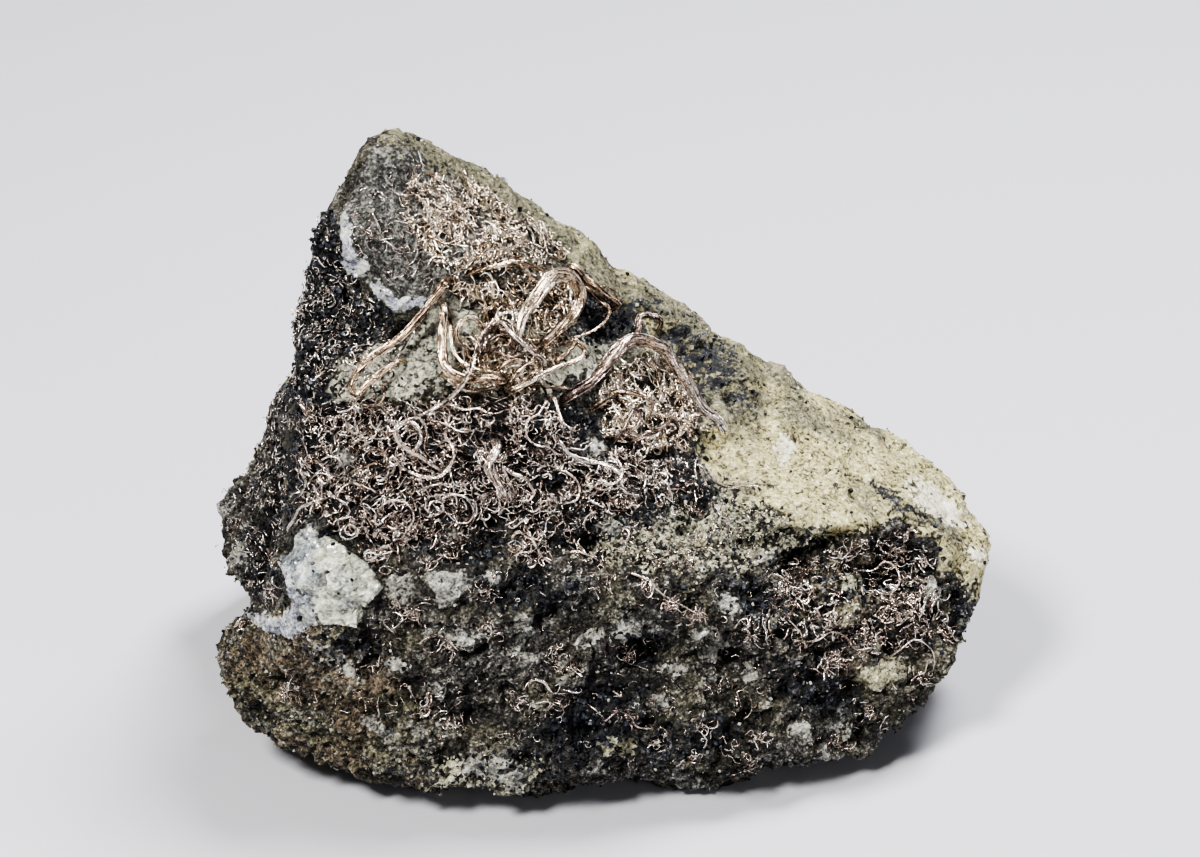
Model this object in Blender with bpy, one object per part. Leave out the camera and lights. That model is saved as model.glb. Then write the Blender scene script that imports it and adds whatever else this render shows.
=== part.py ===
"""Native silver specimen: curled silver wires and mats of fine wire on a broken block of veined rock.

Metres, +Z up. The origin is the middle of the flat broken face that the block rests on. +Y points into the
block, away from its wired face, and +X runs along the block's length.
"""

import math

import bmesh
import bpy
from mathutils import Vector, geometry, noise
from mathutils.bvhtree import BVHTree

MM = 0.001

# The block, in millimetres.
ROCK_MESH = 2.0  # edge length of the block's faces
ROCK_SWELL = 0.5  # makes up for the corners that skinning rounds off
BREAK_SIZE = 9.0  # the broad waves of the broken face
BREAK_HEIGHT = 1.1
LUMP_SIZE = 5.2  # the lumps that crumble out of it
LUMP_HEIGHT = 3.4
LUMP_LEVEL = 0.55  # how far from a lump's middle, in lump sizes, the face keeps its height
SMOOTH_SHARE = 0.5  # how rough the shelf and the crest are beside the lower face
SMOOTH_ABOVE = 24.0  # height from which the face is smooth
RUGGED_BELOW = 16.0
GAP = 0.4  # clear space between the rock and what grows on it

# The wired face is drawn on a sketch plane that leans back, as seen by an eye in front of and above it.
# A sketch point is (across, up) in millimetres on that plane, measured from SKETCH_CENTRE.
SKETCH_LEAN = math.radians(30.0)
SKETCH_CENTRE = Vector((0.0, 0.0, 28.0))
EYE_DISTANCE = 298.0
TO_EYE = Vector((0.0, -math.cos(SKETCH_LEAN), math.sin(SKETCH_LEAN)))
EYE = SKETCH_CENTRE + EYE_DISTANCE * TO_EYE
SKETCH_ACROSS = Vector((1.0, 0.0, 0.0))
SKETCH_UP = Vector((0.0, math.sin(SKETCH_LEAN), math.cos(SKETCH_LEAN)))

# The block is the union of broken chunks, each the hull of its corners.
MAIN_WEDGE = [
    (-29, -17, 5.5), (-17.5, -20.5, 4.6), (-5, -20.5, 5.2), (4.5, -19.5, 5.6), (17, -17, 3.2),
    (-27, -15, 18), (-20, -17.5, 19), (-6, -17.5, 21), (8, -15, 21), (-27.5, -8, 27.5), (-26, -2, 39),
    (-25.5, 0, 44), (-22, 1, 50), (-20.5, 3, 55.5), (-19, 6.5, 55.5), (-10.5, 9.5, 48.5),
    (-3.5, 11.5, 41.8), (3, 10.5, 35.6), (14, 10.5, 28.2), (-20, 12, 42), (-8, 18, 38), (6, 19, 27),
    (14, 18, 21), (-27, 20, 4), (-10, 24, 4), (10, 22, 4), (18, 18, 5), (-20, -13, -2), (12, -12, -2),
    (15, 10, -2), (8, 17, -2), (-20, 16, -2),
]
RIGHT_SHELF = [
    (0, 10, 36), (7.5, 10, 33.5), (14.5, 10.5, 29), (21.5, 10, 24.5), (29, 8, 21.5), (33, 4, 18.5),
    (36, 0, 15.5), (8, -13, 20.5), (14, -9, 20.5), (20.5, -5, 20), (26, -4.5, 20), (31.5, -5, 14),
    (33.6, -4, 12.5), (30.6, -10, 6.5), (24, -14.5, 5.5), (18, -17, 2.5), (12, -12, -2), (20, -4, -2),
    (18, 8, -2), (34, 5, 7), (28, 13, 6), (20, 18, 10), (10, 20, 12),
]
LEFT_FOOT = [
    (-33.4, -12, 9.5), (-33, -12.5, 7), (-31, -10, 16), (-32.4, -11, 13), (-27, -15, 18), (-29, -17, 5.5),
    (-18, -19, 14), (-18, -20, 4), (-25, 0, 22), (-31, 2, 8), (-26, 6, -1), (-24, -8, -1), (-32, -5, 5),
]
BACK_BUTTRESS = [
    (-29, 13, 24), (-32.2, 13, 17.5), (-35.3, 13, 11), (-35.3, 14, 6.5), (-34, 15, 2), (-25.5, 8, 33),
    (-24, 15, 33), (-31, 20, 4), (-29, 20, 15), (-18, 21, 10), (-32, 3, 8), (-33, 6, 12), (-28, -2, 20),
    (-24, 0, 0),
]
UPPER_SLAB = [
    (-21.5, -1, 51), (-20, 2, 55), (-18, 4, 54), (-12, 4, 46.5), (-10, 0, 42), (-13, -5, 37.5),
    (-19, -5.5, 37.5), (-22.5, -4, 41.5), (-23.5, -2.5, 46), (-15, 8, 44), (-22, 6, 44),
]
CREST_KNOB = [
    (2.5, 10, 37), (7, 10, 35.5), (8, 10, 34), (4, 4, 34.5), (8, 5, 31.5), (4, 14, 34), (0, 9, 36),
    (6, 12, 30),
]
CHUNKS = [MAIN_WEDGE, RIGHT_SHELF, LEFT_FOOT, BACK_BUTTRESS, UPPER_SLAB, CREST_KNOB]

# Lumps (height above 0) and hollows (below 0) of the wired face: across, up, half-width, half-height, height.
FACE_FORMS = {
    "quartz patch": (-24.1, -13.5, 4.6, 4.0, 2.4),
    "quartz knob": (-13.9, -14.3, 3.4, 2.2, 1.8),
    "shelf lip left": (9.0, -9.5, 3.5, 2.0, 1.2),
    "shelf lip": (16.0, -9.0, 5.0, 2.2, 1.4),
    "yellow crystal": (22.0, -16.0, 2.0, 2.8, 1.6),
    "right foot knob": (31.0, -20.5, 3.5, 2.5, 1.8),
    "right cheek": (27.5, -20.5, 3.0, 2.0, 1.0),
    "lower brow": (-8.0, -21.0, 6.0, 2.0, 0.8),
    "notch by the slab": (-24.0, 11.8, 3.6, 4.2, -2.4),
    "hollow under the slab": (-18.0, 9.2, 4.0, 1.8, -1.5),
    "dark pocket": (-0.9, -10.4, 2.2, 1.6, -1.4),
    "split in the shelf": (7.8, -10.2, 1.8, 2.2, -1.4),
    "undercut": (17.5, -12.4, 5.2, 1.9, -3.0),
    "right recess": (25.0, -12.8, 4.2, 3.6, -3.2),
    "lower pocket": (4.5, -20.5, 3.4, 2.2, -1.6),
    "lower right pocket": (12.0, -21.5, 3.0, 2.0, -1.6),
    "belly hollow": (-20.0, -19.0, 4.0, 1.8, -0.8),
}

FORM_SLOPE = 0.33  # they fade where the rock turns this far away from the eye (0 is edge on)

# Mats of fine curled wire: the outline on the sketch plane and how far the wire stands off the rock.
MATS = {
    "mat_crown": (1.1, [(-17.0, 22.5), (-11.5, 22.0), (-7.0, 19.0), (-3.0, 15.7), (-4.5, 14.5),
                        (-9.5, 14.2), (-14.0, 14.0), (-16.0, 16.5), (-18.5, 19.5)]),
    "mat_nest": (1.3, [(-13.5, 13.0), (-9.0, 13.4), (-3.5, 13.4), (-2.6, 10.5), (-5.0, 5.0), (-5.5, 3.4),
                       (-12.5, 3.6), (-13.0, 6.5), (-10.0, 9.0)]),
    "mat_middle": (1.4, [(-26.0, 2.0), (-20.0, 2.2), (-13.0, 2.4), (-6.0, 2.6), (-2.6, 0.0), (1.0, -2.0),
                         (8.0, -3.5), (9.5, -5.5), (3.5, -7.0), (-3.0, -8.5), (-7.0, -11.5), (-12.0, -11.0),
                         (-17.5, -10.5), (-21.0, -9.5), (-26.5, -8.5), (-27.0, -3.0)]),
    "mat_bow": (1.3, [(-0.5, 2.8), (1.8, 5.2), (4.5, 6.5), (6.5, 4.5), (8.6, 0.0), (7.5, -2.0), (3.0, -1.8),
                      (0.0, -0.6)]),
    "mat_lower_right": (1.2, [(15.0, -15.0), (20.0, -12.6), (27.0, -10.8), (31.0, -14.0), (30.5, -18.5),
                              (25.0, -20.0), (18.0, -18.5), (13.5, -16.5)]),
}
MAT_MESH = 1.9  # edge length of a mat's faces
MAT_SCATTER = 0.6  # how far its points stray from an even grid
MAT_RIM = 0.35  # a mat's thickness at its rim
MAT_RIM_CLEAR = 1.3  # nearest that its inner points come to the rim
NOISE_SEED = 5  # noise_vector is drawn from the clock unless a seed is set
MAT_FRAY = 1.3  # how far the rim wanders from the outline
MAT_FRAY_SIZE = 1.4
MAT_LUMP = 0.9  # how much its lumps rise and fall
MAT_LUMP_SIZE = 2.2
MAT_ROOT = 2.0  # how far it is first drawn into the rock, before it is trimmed clear
STEEPEST = 0.6  # on rock steeper than this to the eye, things stand no further out along the sight line

# Wires: (across, up, lift) in millimetres along the wire, and its half-thickness at root, middle and tip.
# Lift is the clear height above the rock or the mat under the wire.
WIRES = {
    "hairpin_wire": ((0.60, 0.48, 0.34), [
        (-13.9, 12.9, 0.0), (-14.8, 11.8, 0.2), (-15.7, 10.5, 0.6), (-17.6, 8.4, 0.9), (-20.1, 6.6, 1.0),
        (-21.3, 5.6, 0.9), (-22.0, 4.6, 0.6), (-22.3, 3.6, 0.3), (-21.7, 3.0, 0.4), (-20.9, 3.9, 0.9),
        (-19.7, 4.9, 0.7), (-18.1, 5.9, 0.1),
    ]),
    "hairpin_curl": ((0.26, 0.24, 0.20), [
        (-21.2, 2.2, 0.0), (-20.0, 2.1, 0.2), (-19.3, 2.9, 0.3), (-19.4, 4.0, 0.1),
    ]),
    "cradle_wire": ((0.50, 0.62, 0.50), [
        (-14.0, 10.6, 0.1), (-14.1, 9.2, 0.6), (-14.1, 7.3, 0.8), (-14.0, 5.9, 0.8), (-13.2, 4.9, 0.7),
        (-11.8, 4.4, 0.6), (-10.2, 4.6, 0.4), (-8.8, 4.4, 0.2),
    ]),
    "ring_wire": ((0.30, 0.32, 0.28), [
        (-10.6, 9.2, 0.2), (-11.3, 9.9, 0.5), (-12.2, 9.7, 0.8), (-12.8, 8.8, 0.9), (-12.6, 7.8, 0.6),
        (-11.7, 7.0, 0.2),
    ]),
    "arch_wire": ((0.38, 0.80, 0.42), [
        (-7.3, 8.2, 0.2), (-7.0, 9.6, 1.0), (-6.2, 11.0, 1.7), (-5.2, 12.4, 2.1), (-4.0, 13.6, 2.3),
        (-2.9, 13.6, 2.3), (-2.1, 12.7, 2.2), (-1.8, 11.5, 1.9), (-2.4, 10.2, 1.5), (-3.6, 8.9, 1.0),
        (-4.8, 7.8, 0.4),
    ]),
    "straight_bundle": ((0.46, 0.52, 0.36), [
        (-2.5, 14.5, 0.6), (-1.4, 13.5, 0.9), (-0.2, 12.5, 0.9), (0.8, 11.7, 0.6), (1.7, 11.1, 0.2),
    ]),
    "golden_tail": ((0.26, 0.24, 0.16), [
        (-1.2, 12.6, 0.0), (0.0, 11.4, 0.3), (0.8, 10.8, 0.5), (0.7, 9.9, 0.6), (-0.2, 9.0, 0.5),
        (-1.4, 8.4, 0.3), (-2.6, 8.0, 0.1),
    ]),
    "hook_wire": ((0.46, 0.38, 0.26), [
        (-7.7, 3.5, 0.1), (-6.0, 4.3, 0.5), (-4.3, 5.3, 0.9), (-2.9, 5.8, 1.0), (-1.7, 6.3, 0.9),
        (-1.4, 7.1, 0.7), (-2.2, 7.6, 0.4), (-3.4, 7.6, 0.1),
    ]),
    "white_strand": ((0.32, 0.42, 0.30), [
        (-8.8, 9.5, 0.9), (-7.6, 8.2, 1.1), (-6.2, 7.0, 0.8), (-4.9, 5.9, 0.0),
    ]),
    "grey_strand": ((0.26, 0.30, 0.20), [
        (-9.8, 9.2, 0.9), (-10.7, 8.2, 1.1), (-11.1, 6.6, 1.9), (-11.6, 5.1, 2.1), (-12.3, 3.9, 1.5),
        (-13.8, 2.4, 0.6), (-16.0, 1.2, 0.2),
    ]),
    "bow_wire": ((0.46, 0.62, 0.42), [
        (-2.4, 3.2, 0.2), (-0.8, 4.2, 0.9), (0.5, 5.7, 1.5), (1.5, 7.0, 1.7), (2.7, 7.9, 1.6),
        (4.1, 7.9, 1.5), (5.4, 7.3, 1.6), (6.5, 6.0, 1.8), (7.6, 4.4, 1.8), (8.6, 2.7, 1.4),
        (9.3, 1.6, 0.8), (10.3, 0.9, 0.4), (11.0, -0.1, 0.1),
    ]),
    "bow_stump": ((0.46, 0.38, 0.24), [
        (3.4, 9.0, 0.3), (3.6, 10.0, 0.6), (4.6, 10.1, 0.5), (5.5, 9.7, 0.1),
    ]),
    "ring_loop": ((0.28, 0.34, 0.30), [
        (-14.6, -3.5, 0.2), (-16.2, -2.5, 0.5), (-17.8, -1.4, 0.9), (-18.3, -0.2, 1.1), (-17.5, 0.6, 1.2),
        (-16.4, 0.2, 1.1), (-16.0, -0.9, 0.9), (-16.4, -1.7, 1.6),
    ]),
    "outer_loop": ((0.20, 0.20, 0.16), [
        (-17.8, -3.4, 0.1), (-16.2, -4.2, 0.3), (-14.3, -4.3, 0.8), (-13.3, -3.2, 0.6), (-13.1, -1.9, 0.5),
        (-13.9, -0.5, 0.1),
    ]),
    "flat_strap": ((0.34, 0.42, 0.26), [
        (-9.2, -1.6, 0.2), (-9.7, -2.7, 0.4), (-9.9, -3.6, 0.5), (-9.2, -4.8, 0.4), (-8.6, -5.9, 0.1),
    ]),
    "curved_tail": ((0.20, 0.22, 0.16), [
        (-3.6, -1.1, 0.1), (-2.8, -2.2, 0.3), (-1.3, -2.8, 0.4), (0.6, -3.3, 0.3), (1.9, -4.2, 0.1),
    ]),
    "nest_strand": ((0.20, 0.28, 0.20), [
        (0.6, 2.6, 0.1), (1.4, 3.2, 0.4), (2.7, 3.1, 0.6), (4.0, 2.7, 0.4), (4.7, 2.1, 0.1),
    ]),
}
WIRE_STEP = 1.1  # spacing of the points along a wire
WIRE_SIDES = 6

FINISHES = {
    "rock": ((0.20, 0.19, 0.16), 0.85, 0.0),
    "silver_mat": ((0.50, 0.42, 0.37), 0.45, 0.8),
    "silver_wire": ((0.68, 0.58, 0.50), 0.35, 0.9),
}


def from_sketch(across, up):
    """The point of the sketch plane at (across, up), in millimetres."""
    return SKETCH_CENTRE + across * SKETCH_ACROSS + up * SKETCH_UP


def to_sketch(point):
    """(across, up) where the line from the eye to a point, in millimetres, meets the sketch plane."""
    ray = point - EYE
    at_plane = ray * (EYE_DISTANCE / -ray.dot(TO_EYE))
    return at_plane.dot(SKETCH_ACROSS), (EYE + at_plane - SKETCH_CENTRE).dot(SKETCH_UP)


def clear_scene():
    for obj in list(bpy.data.objects):
        bpy.data.objects.remove(obj)


def add_object(name, data, finish):
    obj = bpy.data.objects.new(name, data)
    bpy.context.scene.collection.objects.link(obj)
    colour, roughness, metallic = FINISHES[finish]
    made = bpy.data.materials.new(name)
    made.use_nodes = True
    shader = made.node_tree.nodes["Principled BSDF"]
    shader.inputs["Base Color"].default_value = (*colour, 1.0)
    shader.inputs["Roughness"].default_value = roughness
    shader.inputs["Metallic"].default_value = metallic
    data.materials.append(made)
    return obj


# The block.


def hull_chunks():
    """One mesh that holds the hull of each chunk."""
    whole = bmesh.new()
    for corners in CHUNKS:
        chunk = bmesh.new()
        for corner in corners:
            chunk.verts.new(Vector(corner) * MM)
        bmesh.ops.convex_hull(chunk, input=chunk.verts)
        loose = [vert for vert in chunk.verts if not vert.link_faces]
        bmesh.ops.delete(chunk, geom=loose, context="VERTS")
        bmesh.ops.recalc_face_normals(chunk, faces=chunk.faces)
        part = bpy.data.meshes.new("chunk")
        chunk.to_mesh(part)
        whole.from_mesh(part)
        chunk.free()
        bpy.data.meshes.remove(part)
    mesh = bpy.data.meshes.new("matrix_rock")
    whole.to_mesh(mesh)
    whole.free()
    return mesh


def face_form(point):
    """How far the lumps and hollows of the wired face move a point, in millimetres."""
    across, up = to_sketch(point)
    total = 0.0
    for centre_across, centre_up, half_width, half_height, height in FACE_FORMS.values():
        reach = math.hypot((across - centre_across) / half_width, (up - centre_up) / half_height)
        if reach < 1.0:
            total += height * (1.0 - reach * reach) ** 1.5
    return total


def ruggedness(point):
    """How rough the break is at a point: the lower face is crumbled, the shelf and crest are smoother."""
    below = (SMOOTH_ABOVE - point.z) / (SMOOTH_ABOVE - RUGGED_BELOW)
    return SMOOTH_SHARE + (1.0 - SMOOTH_SHARE) * min(1.0, max(0.0, below))


def relief(point, normal):
    """How far a point of the block, in millimetres, moves along its normal."""
    broken = BREAK_HEIGHT * noise.fractal(point / BREAK_SIZE, 1.0, 2.0, 3)
    nearest_lump = noise.voronoi(point / LUMP_SIZE)[0][0]
    lumps = LUMP_HEIGHT * (LUMP_LEVEL - nearest_lump)
    seen = min(1.0, max(0.0, normal.dot(TO_EYE) / FORM_SLOPE))
    return ROCK_SWELL + (broken + lumps) * ruggedness(point) + face_form(point) * seen


def build_rock():
    rock = add_object("matrix_rock", hull_chunks(), "rock")
    skin = rock.modifiers.new("one skin", "REMESH")
    skin.mode = "VOXEL"
    skin.voxel_size = ROCK_MESH * MM
    bpy.context.view_layer.objects.active = rock
    bpy.ops.object.modifier_apply(modifier=skin.name)
    mesh = rock.data
    moves = [vert.normal * relief(vert.co / MM, vert.normal) * MM for vert in mesh.vertices]
    for vert, move in zip(mesh.vertices, moves):
        vert.co += move
    cut_foot(mesh)
    return rock


def cut_foot(mesh):
    """Cuts the block flat at the height it rests at, and triangulates it."""
    block = bmesh.new()
    block.from_mesh(mesh)
    everything = block.verts[:] + block.edges[:] + block.faces[:]
    cut = bmesh.ops.bisect_plane(
        block, geom=everything, plane_co=(0, 0, 0), plane_no=(0, 0, 1), clear_inner=True
    )
    rim = [item for item in cut["geom_cut"] if isinstance(item, bmesh.types.BMEdge)]
    bmesh.ops.holes_fill(block, edges=rim, sides=0)
    bmesh.ops.triangulate(block, faces=block.faces[:])
    bmesh.ops.recalc_face_normals(block, faces=block.faces[:])
    block.to_mesh(mesh)
    block.free()


# The mats of fine wire.


def smooth_route(points, step):
    """Points about a step apart on a smooth curve through the points given."""
    ends = [2 * points[0] - points[1], *points, 2 * points[-1] - points[-2]]
    route = []
    for before, start, end, after in zip(ends, ends[1:], ends[2:], ends[3:]):
        count = max(1, round((end - start).length / step))
        for i in range(count):
            t = i / count
            linear = (end - before) * t + (2 * before - 5 * start + 4 * end - after) * t * t
            route.append(start + 0.5 * (linear + (3 * start - before - 3 * end + after) * t ** 3))
    return [*route, points[-1]]


def is_inside(spot, rim):
    """Whether a point of the sketch plane lies inside a closed line of such points."""
    inside = False
    for one, two in zip(rim, [*rim[1:], rim[0]]):
        if (one.y > spot.y) != (two.y > spot.y):
            crossing = one.x + (spot.y - one.y) * (two.x - one.x) / (two.y - one.y)
            inside ^= spot.x < crossing
    return inside


def mat_layout(outline):
    """Triangles that fill a mat's outline on the sketch plane: (points, triangles, number of rim points)."""
    corners = [Vector(corner) for corner in outline]
    rim = smooth_route([*corners, corners[0]], MAT_MESH)[:-1]
    for point in rim:
        point += MAT_FRAY * noise.noise_vector(point.to_3d() / MAT_FRAY_SIZE).to_2d()
    low = Vector((min(p.x for p in rim), min(p.y for p in rim)))
    high = Vector((max(p.x for p in rim), max(p.y for p in rim)))
    fill = []
    for row in range(int((high.y - low.y) / MAT_MESH) + 1):
        for column in range(int((high.x - low.x) / MAT_MESH) + 1):
            spot = low + MAT_MESH * Vector((column + 0.5 * (row % 2), row))
            spot += MAT_SCATTER * noise.noise_vector(spot.to_3d()).to_2d()
            if is_inside(spot, rim) and min((spot - p).length for p in rim) > MAT_RIM_CLEAR:
                fill.append(spot)
    loop = list(range(len(rim)))
    keep_inside = 1
    points, _, triangles, _, _, _ = geometry.delaunay_2d_cdt(rim + fill, [], [loop], keep_inside, 0.001)
    return points, triangles, len(rim)


def build_mat(name, rock_tree, clearance):
    """A lumpy crust over the rock, as thick as its mat, that stops one gap short of the rock."""
    thickness, outline = MATS[name]
    points, triangles, rim_count = mat_layout(outline)
    crust = bmesh.new()
    over, under = [], []
    for i, point in enumerate(points):
        ray = (from_sketch(*point) - EYE).normalized()
        hit, normal, _, _ = rock_tree.ray_cast(EYE * MM, ray)
        slope = max(STEEPEST, -normal.dot(ray))
        lump = MAT_LUMP * noise.noise(hit / MM / MAT_LUMP_SIZE)
        height = MAT_RIM if i < rim_count else thickness + lump
        over.append(crust.verts.new(hit - ray * (GAP + height) / slope * MM))
        under.append(crust.verts.new(hit + ray * MAT_ROOT * MM))
    for one, two, three in triangles:
        crust.faces.new((over[one], over[two], over[three]))
        crust.faces.new((under[three], under[two], under[one]))
    for edge in [e for e in crust.edges if e.is_boundary and e.verts[0] in over]:
        one, two = (over.index(vert) for vert in edge.verts)
        crust.faces.new((over[one], over[two], under[two], under[one]))
    bmesh.ops.triangulate(crust, faces=crust.faces[:])
    bmesh.ops.recalc_face_normals(crust, faces=crust.faces[:])
    mesh = bpy.data.meshes.new(name)
    crust.to_mesh(mesh)
    crust.free()
    mat = add_object(name, mesh, "silver_mat")
    trim = mat.modifiers.new("clear of the rock", "BOOLEAN")
    trim.operation = "DIFFERENCE"
    trim.solver = "EXACT"
    trim.object = clearance
    bpy.context.view_layer.objects.active = mat
    bpy.ops.object.modifier_apply(modifier=trim.name)
    keep_largest(mat.data)
    return mat


def keep_largest(mesh):
    """Drops the crumbs that a cut leaves beside the main piece."""
    piece = bmesh.new()
    piece.from_mesh(mesh)
    left = set(piece.verts)
    islands = []
    while left:
        island = {left.pop()}
        front = list(island)
        while front:
            near = {edge.other_vert(vert) for vert in front for edge in vert.link_edges} - island
            island |= near
            front = list(near)
        left -= island
        islands.append(island)
    islands.sort(key=len)
    crumbs = [vert for island in islands[:-1] for vert in island]
    bmesh.ops.delete(piece, geom=crumbs, context="VERTS")
    bmesh.ops.triangulate(piece, faces=piece.faces[:])
    piece.to_mesh(mesh)
    piece.free()


def build_clearance(rock):
    """A hidden copy of the rock, one gap bigger all round."""
    mesh = rock.data.copy()
    swollen = [vert.co + vert.normal * GAP * MM for vert in rock.data.vertices]
    for vert, place in zip(mesh.vertices, swollen):
        vert.co = place
    clearance = bpy.data.objects.new("clearance", mesh)
    bpy.context.scene.collection.objects.link(clearance)
    clearance.hide_render = True
    clearance.display_type = "WIRE"
    return clearance


# The wires.


def ground_under(objects):
    """A tree of all the faces that wires lie on."""
    ground = bmesh.new()
    for obj in objects:
        ground.from_mesh(obj.data)
    tree = BVHTree.FromBMesh(ground)
    ground.free()
    return tree


def wire_radius(share, radii):
    """A wire's half-thickness, share of the way along it."""
    root, middle, tip = radii
    if share < 0.5:
        return root + (middle - root) * 2 * share
    return middle + (tip - middle) * (2 * share - 1)


def build_wire(name, ground):
    """A tube along the wire's route, which rides clear of the ground as seen from the eye."""
    radii, points = WIRES[name]
    route = smooth_route([Vector(point) for point in points], WIRE_STEP)
    last = len(route) - 1
    thick = [wire_radius(i / last, radii) for i in range(last + 1)]
    rays = [(from_sketch(p.x, p.y) - EYE).normalized() for p in route]
    depths = []
    for ray, radius, point in zip(rays, thick, route):
        hit, normal, _, distance = ground.ray_cast(EYE * MM, ray)
        slope = max(STEEPEST, -normal.dot(ray))
        depths.append(distance / MM - (GAP + radius) / slope - point.z)
    highest = [min(depths[max(0, i - 1):i + 2]) for i in range(last + 1)]
    eased = [sum(highest[max(0, i - 1):i + 2]) / len(highest[max(0, i - 1):i + 2]) for i in range(last + 1)]
    curve = bpy.data.curves.new(name, "CURVE")
    curve.dimensions = "3D"
    curve.bevel_depth = MM
    curve.bevel_resolution = (WIRE_SIDES - 4) // 2
    curve.use_fill_caps = True
    spline = curve.splines.new("POLY")
    spline.points.add(last)
    for spot, ray, depth, limit, radius in zip(spline.points, rays, eased, depths, thick):
        spot.co = (*((EYE + ray * min(depth, limit)) * MM), 1.0)
        spot.radius = radius
    return add_object(name, curve, "silver_wire")


clear_scene()
noise.seed_set(NOISE_SEED)
rock = build_rock()
clearance = build_clearance(rock)
rock_tree = ground_under([rock])
mats = [build_mat(name, rock_tree, clearance) for name in MATS]
ground = ground_under([rock, *mats])
for wire in WIRES:
    build_wire(wire, ground)
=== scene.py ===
import math
import random

import bmesh
import bpy
import numpy as np
from mathutils import Matrix, Vector, noise
from mathutils.bvhtree import BVHTree


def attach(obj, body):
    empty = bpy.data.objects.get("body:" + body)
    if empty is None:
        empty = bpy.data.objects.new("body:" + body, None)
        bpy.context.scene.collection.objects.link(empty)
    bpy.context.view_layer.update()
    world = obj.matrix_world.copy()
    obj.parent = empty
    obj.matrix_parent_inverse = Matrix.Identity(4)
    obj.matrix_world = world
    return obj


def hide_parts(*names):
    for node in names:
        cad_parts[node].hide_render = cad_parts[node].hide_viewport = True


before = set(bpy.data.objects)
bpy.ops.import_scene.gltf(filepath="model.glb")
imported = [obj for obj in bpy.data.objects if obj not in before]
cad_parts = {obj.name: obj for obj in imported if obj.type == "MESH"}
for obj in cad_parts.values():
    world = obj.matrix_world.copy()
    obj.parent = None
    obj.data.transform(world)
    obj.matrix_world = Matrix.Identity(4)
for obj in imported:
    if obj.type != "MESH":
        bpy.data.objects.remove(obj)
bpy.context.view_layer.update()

MM = 0.001

# The wired face is drawn on a sketch plane that leans back, as seen by an eye in front of and above it.
# A sketch point is (across, up) in millimetres on that plane, measured from SKETCH_CENTRE. The camera is the eye.
SKETCH_LEAN = math.radians(30.0)
SKETCH_CENTRE = Vector((0.0, 0.0, 28.0))
EYE_DISTANCE = 298.0
TO_EYE = Vector((0.0, -math.cos(SKETCH_LEAN), math.sin(SKETCH_LEAN)))
EYE = SKETCH_CENTRE + EYE_DISTANCE * TO_EYE
SKETCH_ACROSS = Vector((1.0, 0.0, 0.0))
SKETCH_UP = Vector((0.0, math.sin(SKETCH_LEAN), math.cos(SKETCH_LEAN)))


def from_sketch(across, up):
    """The point of the sketch plane at (across, up), in millimetres."""
    return SKETCH_CENTRE + across * SKETCH_ACROSS + up * SKETCH_UP


def to_sketch(points):
    """Where the lines from the eye to an array of points, in millimetres, meet the sketch plane: (across, up)."""
    rays = points - np.array(EYE)
    at_plane = rays * (EYE_DISTANCE / -(rays @ np.array(TO_EYE)))[:, None]
    return at_plane @ np.array(SKETCH_ACROSS), (at_plane + np.array(EYE - SKETCH_CENTRE)) @ np.array(SKETCH_UP)


# Objects, made one at a time as by hand.


def select_only(obj):
    bpy.ops.object.select_all(action="DESELECT")
    obj.select_set(True)
    bpy.context.view_layer.objects.active = obj


def new_object(name, data):
    obj = bpy.data.objects.new(name, data)
    bpy.context.scene.collection.objects.link(obj)
    select_only(obj)
    return obj


def apply_modifiers(obj):
    select_only(obj)
    for modifier in list(obj.modifiers):
        bpy.ops.object.modifier_apply(modifier=modifier.name)


def merge_doubles(distance):
    """Merges the active mesh's corners that lie closer than a distance, in millimetres."""
    bpy.ops.object.mode_set(mode="EDIT")
    bpy.ops.mesh.select_all(action="SELECT")
    bpy.ops.mesh.remove_doubles(threshold=distance * MM)
    bpy.ops.object.mode_set(mode="OBJECT")


def joined(piece, other):
    """The piece with the other object's mesh joined to it."""
    select_only(piece)
    other.select_set(True)
    bpy.ops.object.join()
    return piece


def set_attribute(mesh, name, values):
    """Stores a number, or a vector, for each vertex."""
    values = np.asarray(values, np.float32)
    if values.ndim == 1:
        mesh.attributes.new(name, "FLOAT", "POINT").data.foreach_set("value", values)
    else:
        mesh.attributes.new(name, "FLOAT_VECTOR", "POINT").data.foreach_set("vector", values.ravel())


def read_all(items, field, width=1):
    """A field of every item of a mesh, as one array. Its width is how many numbers an item has."""
    values = np.empty(len(items) * width, np.float32)
    items.foreach_get(field, values)
    return values


def vertex_arrays(mesh):
    """(places in millimetres, normals) of a mesh's vertices."""
    places = read_all(mesh.vertices, "co", 3).reshape(-1, 3).astype(float) / MM
    return places, read_all(mesh.vertex_normals, "vector", 3).reshape(-1, 3).astype(float)


def wave(*at):
    """Smooth noise from -1 to 1, at three numbers."""
    return noise.noise(Vector(at))


def held(value):
    """A value kept from 0 to 1."""
    return min(1.0, max(0.0, value))


# Camera, floor and light.

FOCAL_LENGTH = 100.0  # the camera's lens and sensor, in millimetres
SENSOR_WIDTH = 36.0
LIT_POINT = Vector((0.0, 0.0, 0.025))  # what the lights shine at
# Square soft lights: place and width in metres, power in watts, colour.
LIGHTS = {
    "key": ((-0.20, -0.22, 0.40), 0.11, 3.6, (1.0, 0.98, 0.95)),
    "top": ((0.16, 0.14, 0.44), 0.16, 3.6, (0.98, 0.98, 1.0)),
    "fill": ((0.40, -0.42, 0.16), 0.30, 1.0, (0.95, 0.96, 1.0)),
}
STUDIO_GLOW = {"Color": (0.72, 0.72, 0.78, 1.0), "Strength": 0.14}  # the even light from all round


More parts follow.
